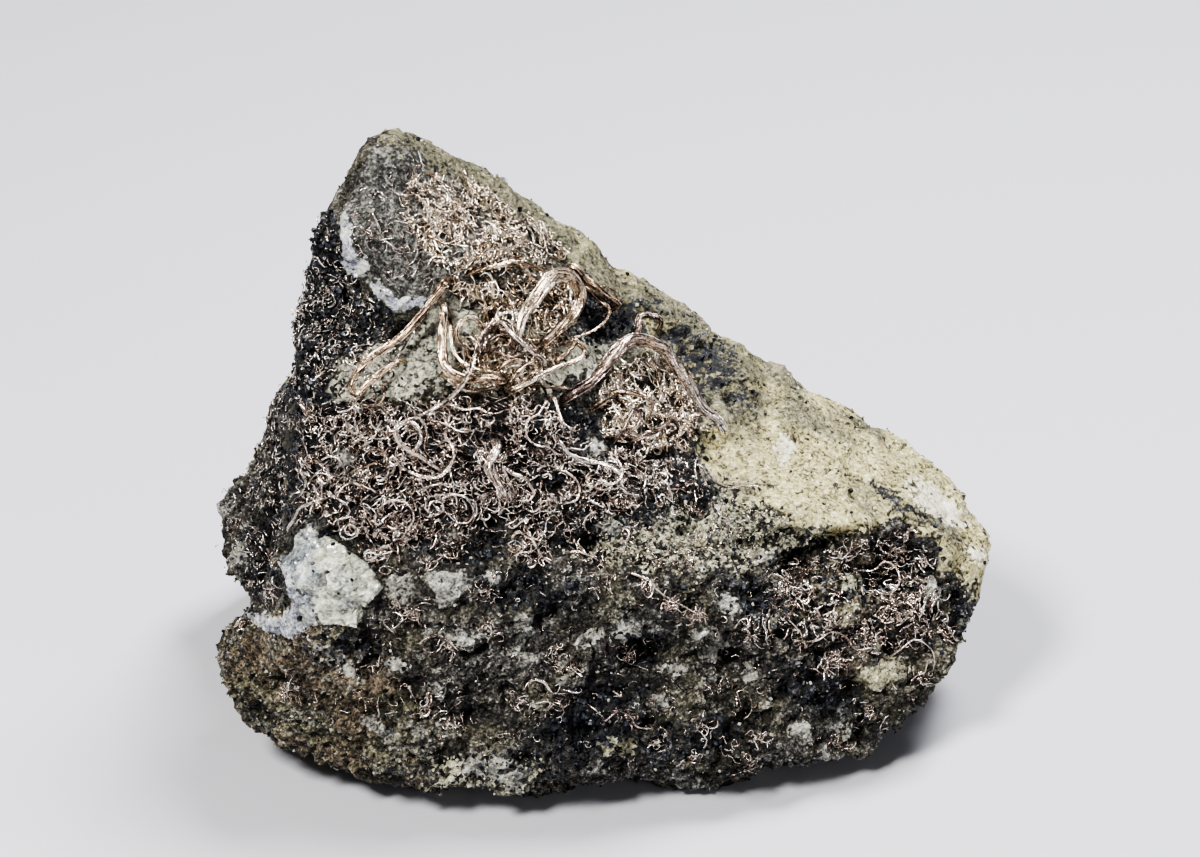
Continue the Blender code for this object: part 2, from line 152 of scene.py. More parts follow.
def set_stage():
    """Puts the camera at the eye, and returns the floor."""
    camera = bpy.data.cameras.new("camera")
    camera.lens = FOCAL_LENGTH
    camera.sensor_width = SENSOR_WIDTH
    camera.clip_start = 0.01
    eye = new_object("camera", camera)
    eye.location = EYE * MM
    eye.rotation_euler = (math.pi / 2 - SKETCH_LEAN, 0.0, 0.0)
    bpy.context.scene.camera = eye
    bpy.ops.object.select_all(action="DESELECT")
    bpy.ops.mesh.primitive_plane_add(size=4.0, location=(0.0, 0.0, 0.0))
    floor = bpy.context.object
    floor.name = "floor"
    return floor


def set_lights():
    for name, (place, width, power, colour) in LIGHTS.items():
        light = bpy.data.lights.new(name, "AREA")
        light.size = width
        light.energy = power
        light.color = colour
        lamp = new_object(name, light)
        lamp.location = place
        lamp.rotation_euler = (LIT_POINT - Vector(place)).to_track_quat("-Z", "Y").to_euler()
    bpy.context.scene.view_settings.look = "AgX - High Contrast"
    world = bpy.data.worlds.new("studio")
    bpy.context.scene.world = world
    world.use_nodes = True
    for socket, value in STUDIO_GLOW.items():
        world.node_tree.nodes["Background"].inputs[socket].default_value = value


# Materials.


class Value:
    """A socket, with arithmetic that adds Math nodes."""

    def __init__(self, tree, socket):
        self.tree = tree
        self.socket = socket

    def math(self, operation, first, second=None, clamp=False):
        node = self.tree.nodes.new("ShaderNodeMath")
        node.operation = operation
        node.use_clamp = clamp
        for slot, given in zip(node.inputs, (first, second)):
            if isinstance(given, Value):
                self.tree.links.new(given.socket, slot)
            elif given is not None:
                slot.default_value = given
        return Value(self.tree, node.outputs[0])

    def __add__(self, other):
        return self.math("ADD", self, other)

    def __radd__(self, other):
        return self.math("ADD", other, self)

    def __sub__(self, other):
        return self.math("SUBTRACT", self, other)

    def __rsub__(self, other):
        return self.math("SUBTRACT", other, self)

    def __mul__(self, other):
        return self.math("MULTIPLY", self, other)

    def __rmul__(self, other):
        return self.math("MULTIPLY", other, self)

    def clamped(self):
        return self.math("ADD", self, 0.0, clamp=True)

    def above(self, low, high):
        """0 where this is under low, 1 where it is over high, and a straight rise between them."""
        return ((self - low) * (1.0 / (high - low))).clamped()


class Finish:
    """A material in the making: its tree and its Principled shader."""

    def __init__(self, name, **constants):
        self.material = bpy.data.materials.new(name)
        self.material.use_nodes = True
        self.tree = self.material.node_tree
        self.shader = self.tree.nodes["Principled BSDF"]
        for socket, value in constants.items():
            self.shader.inputs[socket.replace("_", " ")].default_value = value

    def node(self, kind, settings=None, output=None, **sockets):
        """Any node: its settings are set first, then its sockets, by name. The output wanted is given by name."""
        node = self.tree.nodes.new(kind)
        for name, value in (settings or {}).items():
            if name == "stops":
                self.set_stops(node.color_ramp, value)
            else:
                setattr(node, name, value)
        for name, value in sockets.items():
            wanted = name.replace("_", " ")
            slot = next(s for s in node.inputs if s.name == wanted and s.enabled)
            if isinstance(value, Value):
                self.tree.links.new(value.socket, slot)
            else:
                slot.default_value = value
        found = next(s for s in node.outputs if s.enabled and output in (None, s.name))
        return Value(self.tree, found)

    @staticmethod
    def set_stops(ramp, stops):
        """Sets a ramp's stops, each a position, red, green and blue."""
        while len(ramp.elements) < len(stops):
            ramp.elements.new(1.0)
        for element, (position, *colour) in zip(ramp.elements, stops):
            element.position = position
            element.color = (*colour, 1.0)

    def mix(self, factor, first, second):
        """first where the factor is 0, second where it is 1. They are colours."""
        ends = [c if isinstance(c, Value) else (*c, 1.0) for c in (first, second)]
        return self.node("ShaderNodeMix", {"data_type": "RGBA"}, Factor=factor, A=ends[0], B=ends[1])

    def ramp(self, factor, stops):
        return self.node("ShaderNodeValToRGB", {"stops": stops}, output="Color", Fac=factor)

    def coordinates(self):
        """Object coordinates in millimetres."""
        place = self.node("ShaderNodeTexCoord", output="Object")
        return self.node("ShaderNodeVectorMath", {"operation": "SCALE"}, Vector=place, Scale=1.0 / MM)

    def attribute(self, name, output="Fac"):
        return self.node("ShaderNodeAttribute", {"attribute_name": name}, output=output)

    def noise(self, place, size, detail=4.0, roughness=0.55):
        """Cloudy noise from 0 to 1, whose largest waves are size millimetres."""
        return self.node("ShaderNodeTexNoise", output="Fac", Vector=place, Scale=1.0 / size, Detail=detail,
                         Roughness=roughness)

    def stretched(self, place, rates):
        """Coordinates scaled by a rate along each axis, for a pattern drawn out along the smallest."""
        return self.node("ShaderNodeMapping", Vector=place, Scale=rates)

    def cells(self, place, size):
        """A number from 0 to 1 for each Voronoi cell, about size millimetres across."""
        colour = self.node("ShaderNodeTexVoronoi", output="Color", Vector=place, Scale=1.0 / size)
        return self.node("ShaderNodeSeparateColor", output="Red", Color=colour)

    def axis(self, place, letter):
        """One coordinate of a place, by its letter."""
        return self.node("ShaderNodeSeparateXYZ", output=letter, Vector=place)

    def bump(self, height, depth):
        """Turns a height from 0 to 1 into relief, depth millimetres deep."""
        return self.node("ShaderNodeBump", Height=height, Distance=depth * MM, Strength=1.0)

    def paint(self, **sockets):
        """Links values to the shader's sockets and returns the finished material."""
        for name, value in sockets.items():
            self.tree.links.new(value.socket, self.shader.inputs[name.replace("_", " ")])
        return self.material


# Where the mineral kinds lie on the wired face: outlines on the sketch plane, in millimetres.
CREAM_COAT = [
    (1.6, 14.6), (8.2, 13.0), (13.5, 9.0), (18.9, 6.2), (23.4, 3.2), (28.3, 0.8), (33.6, -3.8), (37.6, -9.6),
    (36.8, -15.4), (33.4, -15.6), (31.2, -12.4), (29.6, -9.4), (26.8, -7.6), (24.1, -9.0), (20.6, -9.9),
    (16.1, -7.8), (11.6, -6.0), (8.9, -4.0), (8.5, -1.0), (10.3, 0.8), (8.9, 3.0), (7.6, 5.2), (5.8, 7.0),
    (3.6, 8.8), (1.4, 10.6),
]
CREST_COAT = [
    (-23.0, 29.5), (-17.0, 28.6), (-10.0, 25.2), (-3.0, 20.6), (1.8, 16.8), (4.0, 13.0), (0.5, 11.4), (-2.0, 14.2),
    (-4.5, 16.6), (-9.0, 18.6), (-12.5, 21.8), (-18.0, 24.8),
]
PALE_WINDOW = [
    (-15.2, 12.4), (-12.0, 11.6), (-9.5, 13.6), (-5.6, 9.4), (-3.2, 10.8), (-1.6, 9.2), (0.4, 7.8), (-0.4, 5.4),
    (-3.6, 3.4), (-9.0, 3.0), (-14.0, 3.4), (-17.8, 2.6), (-22.8, 1.8), (-24.2, 4.0), (-23.2, 6.0), (-20.6, 7.4),
    (-17.6, 8.2), (-15.6, 9.6),
]
GREEN_GRAINS = [
    (-3.6, -4.6), (1.8, -3.8), (8.9, -4.6), (16.1, -6.8), (22.4, -9.1), (20.6, -11.8), (14.3, -11.8), (8.9, -12.7),
    (1.8, -11.8), (-2.7, -10.0), (-4.9, -7.4),
]
BLACK_LEFT = [
    (-26.6, 16.4), (-24.2, 19.2), (-22.4, 14.6), (-20.4, 12.4), (-19.2, 10.2), (-15.8, 9.6), (-18.4, 8.4),
    (-21.6, 7.6), (-23.6, 5.8), (-24.4, 3.2), (-23.0, 1.2), (-26.8, -1.0), (-28.2, 0.8), (-27.5, 7.0),
    (-26.8, 11.5),
]
BLACK_RIDGE = [(-3.6, 11.5), (-0.9, 12.4), (3.6, 11.0), (4.5, 8.8), (1.8, 7.5), (-1.8, 7.9)]
BLACK_BAND = [
    (3.4, 11.6), (5.8, 11.2), (8.9, 8.6), (11.6, 7.4), (12.8, 5.6), (12.4, 4.0), (14.6, 2.8), (13.9, 1.4),
    (11.0, 2.0), (9.0, 3.6), (6.9, 6.4), (4.6, 9.2),
]
BLACK_MAT = [
    (-27.7, 2.5), (-16.1, 2.5), (-3.6, 2.5), (3.6, -1.0), (8.9, -2.8), (10.7, -6.4), (0.0, -10.0), (-10.7, -11.8),
    (-16.1, -11.3), (-21.5, -10.4), (-27.7, -8.2),
]
BLACK_RIGHT = [(24.4, -4.8), (27.4, -6.4), (29.4, -8.2), (29.2, -8.7), (26.6, -7.2), (24.2, -5.6)]
BLACK_END = [(31.3, -14.9), (34.9, -15.3), (34.4, -18.9), (31.7, -18.9)]
BLACK_HOLLOW = [
    (19.0, -11.0), (22.0, -11.3), (25.5, -10.7), (29.0, -11.7), (30.6, -13.4), (31.2, -18.5), (25.0, -20.5),
    (17.0, -19.0), (13.5, -15.5), (15.0, -12.8),
]
QUARTZ_PATCH = [
    (-28.7, -11.4), (-27.2, -11.4), (-26.5, -8.6), (-24.6, -9.3), (-22.7, -11.0), (-20.8, -12.1), (-19.6, -14.3),
    (-21.1, -15.4), (-21.3, -17.3), (-24.9, -17.4), (-25.5, -15.9), (-27.2, -14.0),
]
QUARTZ_BRIDGE = [
    (-19.3, -14.0), (-18.5, -13.1), (-16.4, -13.1), (-16.9, -14.4), (-17.1, -16.1), (-18.5, -15.6), (-19.4, -15.0),
]
QUARTZ_KNOB = [
    (-16.2, -13.3), (-15.0, -12.6), (-12.4, -13.1), (-11.3, -14.3), (-12.4, -15.4), (-14.0, -15.9), (-14.8, -14.7),
]
LILAC_EDGE = [
    (-28.7, -11.7), (-27.6, -12.6), (-27.2, -14.0), (-25.3, -16.3), (-25.5, -17.5), (-27.6, -18.9), (-30.2, -17.7),
    (-31.8, -16.8), (-30.4, -16.5), (-28.1, -16.8), (-27.6, -15.4), (-28.1, -13.5),
]
LILAC_RIM = [
    (-23.0, 19.2), (-22.2, 19.2), (-22.0, 17.9), (-22.1, 16.7), (-21.6, 15.8), (-20.7, 14.9), (-20.9, 14.0),
    (-21.8, 13.6), (-22.6, 13.8), (-23.1, 14.9), (-23.1, 16.4), (-23.0, 17.9),
]
LILAC_STEP = [
    (-20.4, 13.2), (-19.7, 13.3), (-19.3, 12.5), (-18.2, 11.6), (-16.7, 11.4), (-15.7, 12.0), (-15.5, 11.7),
    (-15.9, 10.9), (-17.2, 10.7), (-18.4, 10.4), (-19.4, 10.9), (-20.1, 11.9),
]
GREY_SLAB = [
    (-22.4, 20.4), (-21.0, 24.0), (-17.9, 25.8), (-13.4, 24.0), (-10.7, 17.7), (-13.4, 11.5), (-16.1, 10.2),
    (-19.2, 11.5), (-20.6, 13.7), (-22.4, 14.6), (-23.0, 19.1),
]
OCHRE_FOOT = [
    (-34.4, -22.5), (-32.9, -17.6), (-26.8, -16.4), (-19.7, -18.9), (-16.1, -24.3), (-16.1, -32.3), (-23.2, -30.7),
    (-29.5, -27.8),
]
PALE_STRIP = [(-15.2, -29.6), (-5.4, -30.1), (-5.4, -32.4), (-15.2, -32.4)]
# Single crystals and stains are ovals: across, up, half-width, half-height in millimetres, and turn in degrees.
CHALK_SPOTS = [(30.2, -6.7, 2.8, 1.1, -40), (16.5, -1.9, 0.9, 1.1, 0), (33.6, -11.2, 0.9, 0.6, -30)]
PALE_CLASTS = [
    (-13.0, -9.3, 0.7, 0.9, 0), (-23.6, -20.6, 2.5, 0.6, -42), (-9.5, -30.5, 3.2, 1.1, -20),
    (-6.8, -17.5, 0.7, 0.7, 0), (-1.0, -18.9, 1.3, 0.6, 25), (-6.8, -20.3, 1.2, 0.4, 0),
    (-14.6, -23.4, 0.8, 0.5, -15), (-18.5, -21.0, 1.2, 0.5, -10), (-12.9, -18.7, 2.4, 0.6, -5),
    (0.8, -8.4, 1.2, 1.0, 0), (-0.3, -1.7, 0.9, 0.9, 0), (11.5, -15.8, 1.4, 0.7, -15), (2.4, -18.2, 1.0, 0.8, 0),
    (9.6, -19.3, 1.8, 1.3, -30), (6.6, -21.4, 0.9, 0.4, -10), (13.5, -21.8, 0.5, 1.2, -10),
    (29.6, -14.4, 0.8, 1.4, 10), (15.3, -11.5, 1.0, 0.6, 0), (16.2, -17.0, 1.0, 0.7, 30),
    (17.8, -27.1, 0.9, 1.0, 0), (22.5, -27.0, 0.7, 0.3, 15), (32.8, -17.0, 0.4, 0.7, 0),
    (-32.2, -11.0, 0.8, 1.0, 0), (-9.7, -13.4, 0.6, 0.4, 0), (-23.0, -2.3, 0.9, 0.7, 0), (-22.6, -4.0, 0.7, 0.5, 0),
    (5.2, -24.6, 1.3, 0.7, 20), (-3.2, -22.6, 0.9, 0.4, -20), (20.2, -29.2, 0.8, 0.6, 0),
    (-19.6, -27.0, 1.6, 0.6, -25),
]
YELLOW_CRYSTALS = [
    (22.0, -16.5, 0.9, 0.9, 0), (22.3, -13.9, 1.1, 0.8, 20), (25.2, -22.0, 2.6, 1.1, 15), (1.5, -28.5, 1.6, 0.9, 0),
]
# Dark stains as ovals. The last one lies along the crease between the left boulder and the main body, and is painted
# shade there.
BLACK_STAINS_AND_CREASE_SHADE = [
    (-22.3, -19.8, 3.0, 1.4, 0), (-0.9, -26.1, 4.8, 3.4, 20), (-6.3, -30.0, 2.4, 1.0, 0),
    (-6.6, -14.4, 3.6, 1.8, -10), (27.3, -12.7, 3.0, 2.4, -30), (3.6, -19.4, 1.8, 1.4, 0),
    (14.3, -15.0, 3.2, 1.4, -10), (8.9, -27.9, 3.5, 1.6, 10), (19.7, -23.4, 3.5, 1.9, -20),
    (-30.4, -14.2, 1.6, 1.6, 0), (-28.9, -4.9, 7.2, 0.8, 75),
]
COAT_STREAKS = [(25.8, -5.7, 1.4, 0.5, -27), (28.0, -7.0, 2.0, 0.24, -30)]
# Hollows in the lower face: as the ovals, with the depth last.
PITS = [
    (-0.9, -10.4, 0.7, 0.6, 0, 1.5), (20.4, -10.6, 2.2, 0.8, 25, 1.7), (7.8, -9.0, 0.8, 0.7, 0, 1.3),
    (2.2, -23.8, 0.7, 0.6, 0, 1.2), (15.8, -9.9, 1.6, 0.5, 5, 1.0), (8.9, -7.2, 0.7, 0.7, 0, 1.1),
    (-11.7, -25.4, 0.9, 0.5, 0, 1.0), (3.2, -19.6, 1.1, 0.8, 0, 1.2), (12.2, -24.6, 2.0, 0.5, -25, 0.9),
    (28.6, -12.2, 1.4, 1.0, -40, 1.0), (-28.9, -4.9, 6.8, 0.6, 75, 1.2),
]

NOISE_SEED = 5  # noise_vector is drawn from the clock unless a seed is set
BLOCK_MESH = 0.54  # edge length of the block's skin, in millimetres, halved where its wired side is bare and rough
SAME_PLACE = 0.01  # the CAD block's loose corners are merged within this distance
FOOT_DEPTH = 0.4  # the skin is flat this close to the floor
RELIEF_RANGE = 1.6  # relief from the lowest hollow to the highest grain
EDGE_SOFTNESS = 1.7  # width of the edge between two kinds of mineral, where their grains mingle
EDGE_WANDER = 1.0  # how far that edge strays from its outline
PIT_EDGE = 1.2  # width of a pit's sloping edge
CRYSTAL_SOFTNESS = 0.5  # the same for single crystals, which end sharply
CRYSTAL_WANDER = 0.35


def inside(across, up, outline, softness):
    """How far inside an outline the sketch points lie, as a smooth step from 0 outside to 1 inside."""
    corners = np.array(outline)
    nearest = np.full(across.shape, 1e9)
    within = np.zeros(across.shape, bool)
    for (x0, y0), (x1, y1) in zip(corners, np.roll(corners, -1, axis=0)):
        dx, dy = x1 - x0, y1 - y0
        along = np.clip(((across - x0) * dx + (up - y0) * dy) / (dx * dx + dy * dy), 0.0, 1.0)
        nearest = np.minimum(nearest, np.hypot(across - x0 - along * dx, up - y0 - along * dy))
        if dy:
            within ^= ((y0 > up) != (y1 > up)) & (across < x0 + (up - y0) * dx / dy)
    signed = np.where(within, nearest, -nearest)
    step = np.clip(0.5 + signed / softness, 0.0, 1.0)
    return step * step * (3.0 - 2.0 * step)


def in_ovals(across, up, ovals, softness):
    """How far inside any of the ovals the sketch points lie, from 0 outside to 1 inside."""
    most = np.zeros(across.shape)
    for x, y, wide, high, turn, *_ in ovals:
        c, s = math.cos(math.radians(turn)), math.sin(math.radians(turn))
        along, over = c * (across - x) + s * (up - y), c * (up - y) - s * (across - x)
        reach = (1.0 - np.hypot(along / wide, over / high)) * min(wide, high)
        most = np.maximum(most, np.clip(0.5 + reach / softness, 0.0, 1.0))
    return most


def at_each(places, rule):
    """A rule worked out at each place, as an array."""
    return np.array([rule(Vector(place)) for place in places])


# Veins of quartz run through the block as bent sheets: the way each faces, its distance from the origin, and half
# its width.
VEINS = [
    ((0.25, 0.30, 0.92), 12.0, 0.55), ((-0.20, 0.42, 0.88), 25.0, 0.40), ((0.83, 0.10, 0.55), 20.0, 0.35),
    ((-0.55, -0.25, 0.80), 27.0, 0.30),
]


def vein_depth(place):
    """How far inside the nearest vein a place lies, in millimetres."""
    bend = 2.4 * noise.noise(place / 9.0) + 0.5 * noise.noise(place / 1.9)
    pinch = 0.55 + 1.1 * noise.noise(place / 5.0 + Vector((3.0, 0.0, 7.0)))
    return max(wide * pinch - abs(place.dot(Vector(facing)) - reach + bend) for facing, reach, wide in VEINS)


def mineral_kinds(places, normals):
    """How much of each mineral kind lies at each place: arrays from 0 to 1, by name."""
    wander = at_each(places, lambda p: noise.noise_vector(p / 2.6) + 0.5 * noise.noise_vector(p / 0.9))
    loose = to_sketch(places + EDGE_WANDER * wander)
    firm = to_sketch(places + CRYSTAL_WANDER * wander)
    seen = np.clip((normals @ np.array(TO_EYE) + 0.15) / 0.3, 0.0, 1.0)
    veins = at_each(places, vein_depth)
    weathered = at_each(places, lambda p: noise.noise(p / 6.0 + Vector((9.0, 3.0, 4.0))))
    blotches = at_each(places, lambda p: noise.fractal(p / 5.0 + Vector((0.0, 8.0, 2.0)), 1.0, 2.0, 3))
    flecks = at_each(places, lambda p: noise.fractal(p / 1.1 + Vector((2.0, 5.0, 0.0)), 0.5, 2.0, 4))

    def patchy(amount, share):
        return amount * np.clip(share + 0.9 * flecks, 0.0, 1.0)

    def spread(*outlines, softness=EDGE_SOFTNESS):
        return seen * np.max([inside(*loose, outline, softness) for outline in outlines], axis=0)

    def crystals(*outlines):
        return seen * np.max([inside(*firm, outline, CRYSTAL_SOFTNESS) for outline in outlines], axis=0)

    def elsewhere(values, low, high):
        return (1.0 - seen) * np.clip((values - low) / (high - low), 0.0, 1.0)

    high_up = np.clip((places[:, 2] - 14.0) / 30.0, 0.0, 1.0)
    backward = np.clip(0.3 + 1.2 * normals[:, 1], 0.0, 1.0)
    black = patchy(spread(BLACK_LEFT, BLACK_RIDGE, BLACK_MAT, BLACK_END), 0.85)
    band = patchy(np.maximum(spread(BLACK_BAND, softness=2.6), 0.85 * spread(BLACK_RIGHT, softness=0.8)), 0.62)
    hollow = patchy(spread(BLACK_HOLLOW, softness=3.5), 0.32)
    # Dark stains and coat streaks, with the painted shade of the left crease among them.
    stains_and_crease_shade = seen * np.maximum(0.8 * in_ovals(*loose, BLACK_STAINS_AND_CREASE_SHADE, 2.4), 0.85 * in_ovals(*firm, COAT_STREAKS, 0.5))
    return {
        "cream": np.maximum(patchy(spread(CREAM_COAT, CREST_COAT, softness=2.8), 1.2),
                            elsewhere(blotches + 1.5 * high_up * backward, 0.45, 0.75)),
        "green": np.maximum(patchy(spread(GREEN_GRAINS, softness=3.5), 0.8), 0.6 * spread(PALE_STRIP, softness=2.5)),
        "window": patchy(spread(PALE_WINDOW), 0.95),
        "black": np.max([black, band, hollow, stains_and_crease_shade, elsewhere(-blotches - high_up, 0.2, 0.5)], axis=0),
        "quartz": crystals(QUARTZ_PATCH),
        "lilac": np.maximum(crystals(LILAC_EDGE, LILAC_RIM, LILAC_STEP), elsewhere(veins, 0.0, 0.25)),
        "clast": np.maximum(seen * in_ovals(*firm, PALE_CLASTS, 0.9), crystals(QUARTZ_BRIDGE, QUARTZ_KNOB)),
        "chalk": seen * in_ovals(*firm, CHALK_SPOTS, 1.6),
        "yellow": seen * in_ovals(*firm, YELLOW_CRYSTALS, 0.9),
        "slab": spread(GREY_SLAB),
        "ochre": np.max([0.8 * spread(OCHRE_FOOT, softness=6.0), 0.7 * spread(BLACK_HOLLOW, softness=5.0),
                         elsewhere(weathered, 0.1, 0.4)], axis=0),
        "wired side": seen,
    }


def broken_chips(place, size, seed):
    """Relief of tilted flat chips about size millimetres across, from about -0.5 to 0.5 times that size."""
    centre = noise.voronoi(place / size + Vector((seed, 0.0, 0.0)))[1][0]
    tilt = noise.noise_vector(centre * 7.3)
    return size * (place / size + Vector((seed, 0.0, 0.0)) - centre).dot(tilt)


def block_relief(places, kinds):
    """How far each place of the block's skin moves along its normal, in millimetres."""
    rough = np.clip((32.0 - places[:, 2]) / 14.0, 0.4, 1.0)
    crystal = np.maximum(kinds["quartz"], kinds["lilac"])
    soft = np.max([kinds["cream"], 0.8 * kinds["slab"], 0.9 * crystal, 0.7 * kinds["window"]], axis=0)
    rough = np.maximum(rough * (1.0 - 0.85 * soft), 0.8 * kinds["black"])
    chips = at_each(places, lambda p: 0.55 * broken_chips(p, 3.2, 3.0) + 0.75 * broken_chips(p, 1.4, 8.0)
                    + 0.8 * broken_chips(p, 0.7, 5.0))
    hollows = at_each(places, lambda p: noise.noise(p / 2.6 + Vector((6.0, 6.0, 1.0))))
    grain = at_each(places, lambda p: noise.fractal(p / 0.8, 0.6, 2.0, 3))
    relief = rough * (0.85 * chips + 0.18 * grain - 2.6 * np.clip(hollows - 0.26, 0.0, 0.5))
    relief += 0.05 * grain * (1.0 - crystal) + 0.3 * crystal - 0.1 * kinds["black"]
    swells = at_each(places, lambda p: 0.42 * noise.fractal(p / 2.6, 0.7, 2.0, 4) + 0.14 * broken_chips(p, 2.4, 6.0))
    relief += kinds["cream"] * swells
    facets = at_each(places, lambda p: broken_chips(p, 2.6, 12.0) + 0.9 * broken_chips(p, 1.2, 2.0)
                     + 0.8 * broken_chips(p, 0.6, 4.0))
    relief += 0.50 * crystal * facets + 0.10 * kinds["cream"] + 0.25 * np.maximum(kinds["clast"], kinds["yellow"])
    at = to_sketch(places)
    for pit in PITS:
        relief -= pit[-1] * kinds["wired side"] * in_ovals(*at, [pit], PIT_EDGE)
    return relief


def build_block():
    """The block's fine skin: the CAD block, smoothed, remeshed finely and broken up."""
    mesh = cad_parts["matrix_rock"].data.copy()
    mesh.materials.clear()
    block = new_object("veined_block", mesh)
    merge_doubles(SAME_PLACE)
    rounded = block.modifiers.new("rounded", "SUBSURF")
    rounded.levels = rounded.render_levels = 1
    skin = block.modifiers.new("even skin", "REMESH")
    skin.mode = "VOXEL"
    skin.voxel_size = BLOCK_MESH * MM
    apply_modifiers(block)
    places, normals = vertex_arrays(mesh)
    under_felt = np.max([inside(*to_sketch(places), MATS[mat], 1.0) for mat in DENSE_MATS], axis=0)
    plain = np.maximum(mineral_kinds(places, normals)["cream"], under_felt) < 0.5
    seen = (normals @ np.array(TO_EYE) > 0.1) & plain
    bpy.ops.object.mode_set(mode="EDIT")
    bpy.ops.mesh.select_all(action="DESELECT")
    bpy.ops.object.mode_set(mode="OBJECT")
    facing = np.array([seen[list(face.vertices)].all() for face in mesh.polygons])
    mesh.polygons.foreach_set("select", facing)
    bpy.ops.object.mode_set(mode="EDIT")
    bpy.ops.mesh.select_mode(type="FACE")
    bpy.ops.mesh.subdivide(number_cuts=1, quadcorner="INNERVERT")
    bpy.ops.object.mode_set(mode="OBJECT")
    places, normals = vertex_arrays(mesh)
    kinds = mineral_kinds(places, normals)
    relief = block_relief(places, kinds)
    # The relief's height is kept for the finish, which paints shade into the hollows with it.
    kinds["height"] = np.clip(0.5 + relief / RELIEF_RANGE, 0.0, 1.0)
    smooth = np.max([kinds["cream"], kinds["slab"], kinds["window"]], axis=0) > 0.5
    moved = places + normals * relief[:, None]
    foot = places[:, 2] < FOOT_DEPTH
    moved[foot, 2] = 0.0
    moved[:, 2] = np.maximum(moved[:, 2], 0.0)
    mesh.vertices.foreach_set("co", (moved * MM).ravel())
    for kind, amount in kinds.items():
        set_attribute(mesh, kind, amount)
    # Broken rock and crystal show every facet; the coats are smooth.
    coated = [bool(smooth[list(face.vertices)].all()) for face in mesh.polygons]
    mesh.polygons.foreach_set("use_smooth", coated)
    mesh.update()
    return block


# Colours of the minerals from dark to light. Each stop is its position, red, green and blue.
MINERAL_SHADES = {
    "seams": [
        (0.25, 0.008, 0.008, 0.008), (0.42, 0.045, 0.045, 0.041), (0.55, 0.12, 0.12, 0.11),
        (0.68, 0.23, 0.232, 0.215), (0.85, 0.45, 0.45, 0.43),
    ],
    "matrix": [
        (0.25, 0.0035, 0.0035, 0.0035), (0.44, 0.018, 0.0163, 0.015), (0.57, 0.052, 0.048, 0.043),
        (0.70, 0.135, 0.129, 0.117), (0.84, 0.38, 0.375, 0.36), (0.95, 0.62, 0.62, 0.60),
    ],
    "moss": [
        (0.22, 0.011, 0.0105, 0.007), (0.42, 0.046, 0.043, 0.028), (0.57, 0.115, 0.106, 0.068),
        (0.75, 0.255, 0.240, 0.168), (0.9, 0.50, 0.485, 0.41),
    ],
    "ochre": [
        (0.22, 0.011, 0.008, 0.006), (0.42, 0.058, 0.044, 0.030), (0.57, 0.138, 0.108, 0.072),
        (0.75, 0.275, 0.230, 0.162), (0.9, 0.47, 0.44, 0.38),
    ],
    "green": [
        (0.23, 0.014, 0.015, 0.014), (0.34, 0.085, 0.085, 0.072), (0.46, 0.25, 0.243, 0.175),
        (0.60, 0.41, 0.395, 0.275), (0.83, 0.62, 0.60, 0.49),
    ],
    "window": [
        (0.18, 0.02, 0.02, 0.018), (0.34, 0.12, 0.12, 0.105), (0.51, 0.32, 0.312, 0.245), (0.8, 0.60, 0.585, 0.48),
    ],
    "tan": [
        (0.22, 0.02, 0.02, 0.017), (0.33, 0.13, 0.115, 0.065), (0.42, 0.275, 0.245, 0.13),
        (0.53, 0.385, 0.345, 0.178), (0.66, 0.49, 0.455, 0.262), (0.82, 0.68, 0.66, 0.50),
    ],
    "ashen": [
        (0.24, 0.009, 0.010, 0.008), (0.36, 0.040, 0.040, 0.030), (0.47, 0.083, 0.080, 0.054),
        (0.62, 0.138, 0.130, 0.085), (0.85, 0.29, 0.27, 0.20),
    ],
    "chalk": [
        (0.18, 0.15, 0.14, 0.09), (0.36, 0.44, 0.415, 0.29), (0.56, 0.60, 0.575, 0.45), (0.80, 0.76, 0.745, 0.66),
    ],
    "slab": [
        (0.25, 0.007, 0.007, 0.0065), (0.42, 0.036, 0.035, 0.032), (0.58, 0.094, 0.092, 0.082),
        (0.8, 0.30, 0.295, 0.275),
    ],
    "clear": [
        (0.2, 0.06, 0.066, 0.070), (0.38, 0.17, 0.188, 0.198), (0.55, 0.295, 0.32, 0.325), (0.75, 0.50, 0.52, 0.51),
        (0.9, 0.78, 0.79, 0.78),
    ],
    "milky": [
        (0.2, 0.13, 0.135, 0.115), (0.38, 0.33, 0.34, 0.28), (0.55, 0.49, 0.495, 0.41), (0.75, 0.66, 0.66, 0.565),
        (0.9, 0.84, 0.84, 0.78),
    ],
    "lilac": [
        (0.2, 0.05, 0.052, 0.062), (0.38, 0.17, 0.177, 0.205), (0.55, 0.33, 0.34, 0.375), (0.75, 0.56, 0.565, 0.59),
        (0.9, 0.78, 0.78, 0.78),
    ],
    "clast": [
        (0.2, 0.05, 0.048, 0.042), (0.38, 0.168, 0.165, 0.146), (0.55, 0.295, 0.290, 0.256),
        (0.75, 0.48, 0.475, 0.43), (0.9, 0.70, 0.695, 0.65),
    ],
    "yellow": [
        (0.2, 0.04, 0.04, 0.025), (0.4, 0.19, 0.18, 0.115), (0.6, 0.37, 0.35, 0.240), (0.85, 0.58, 0.56, 0.44),
    ],
    "black": [
        (0.3, 0.003, 0.003, 0.004), (0.55, 0.011, 0.0115, 0.0135), (0.72, 0.045, 0.047, 0.052),
        (0.88, 0.26, 0.26, 0.27),
    ],
}
# Kinds in the order they are laid over the matrix, with how far each one's grains mingle with its neighbour's.
LAID_OVER = {"ochre": 0.8, "window": 0.8, "green": 0.8, "slab": 0.8, "cream": 0.8, "chalk": 0.4, "black": 0.8,
             "clast": 0.6, "yellow": 0.6, "quartz": 0.45, "lilac": 0.7}
QUARTZ_OFFSET = 24.8  # how far left of the origin the clear quartz gives way to milky, in millimetres


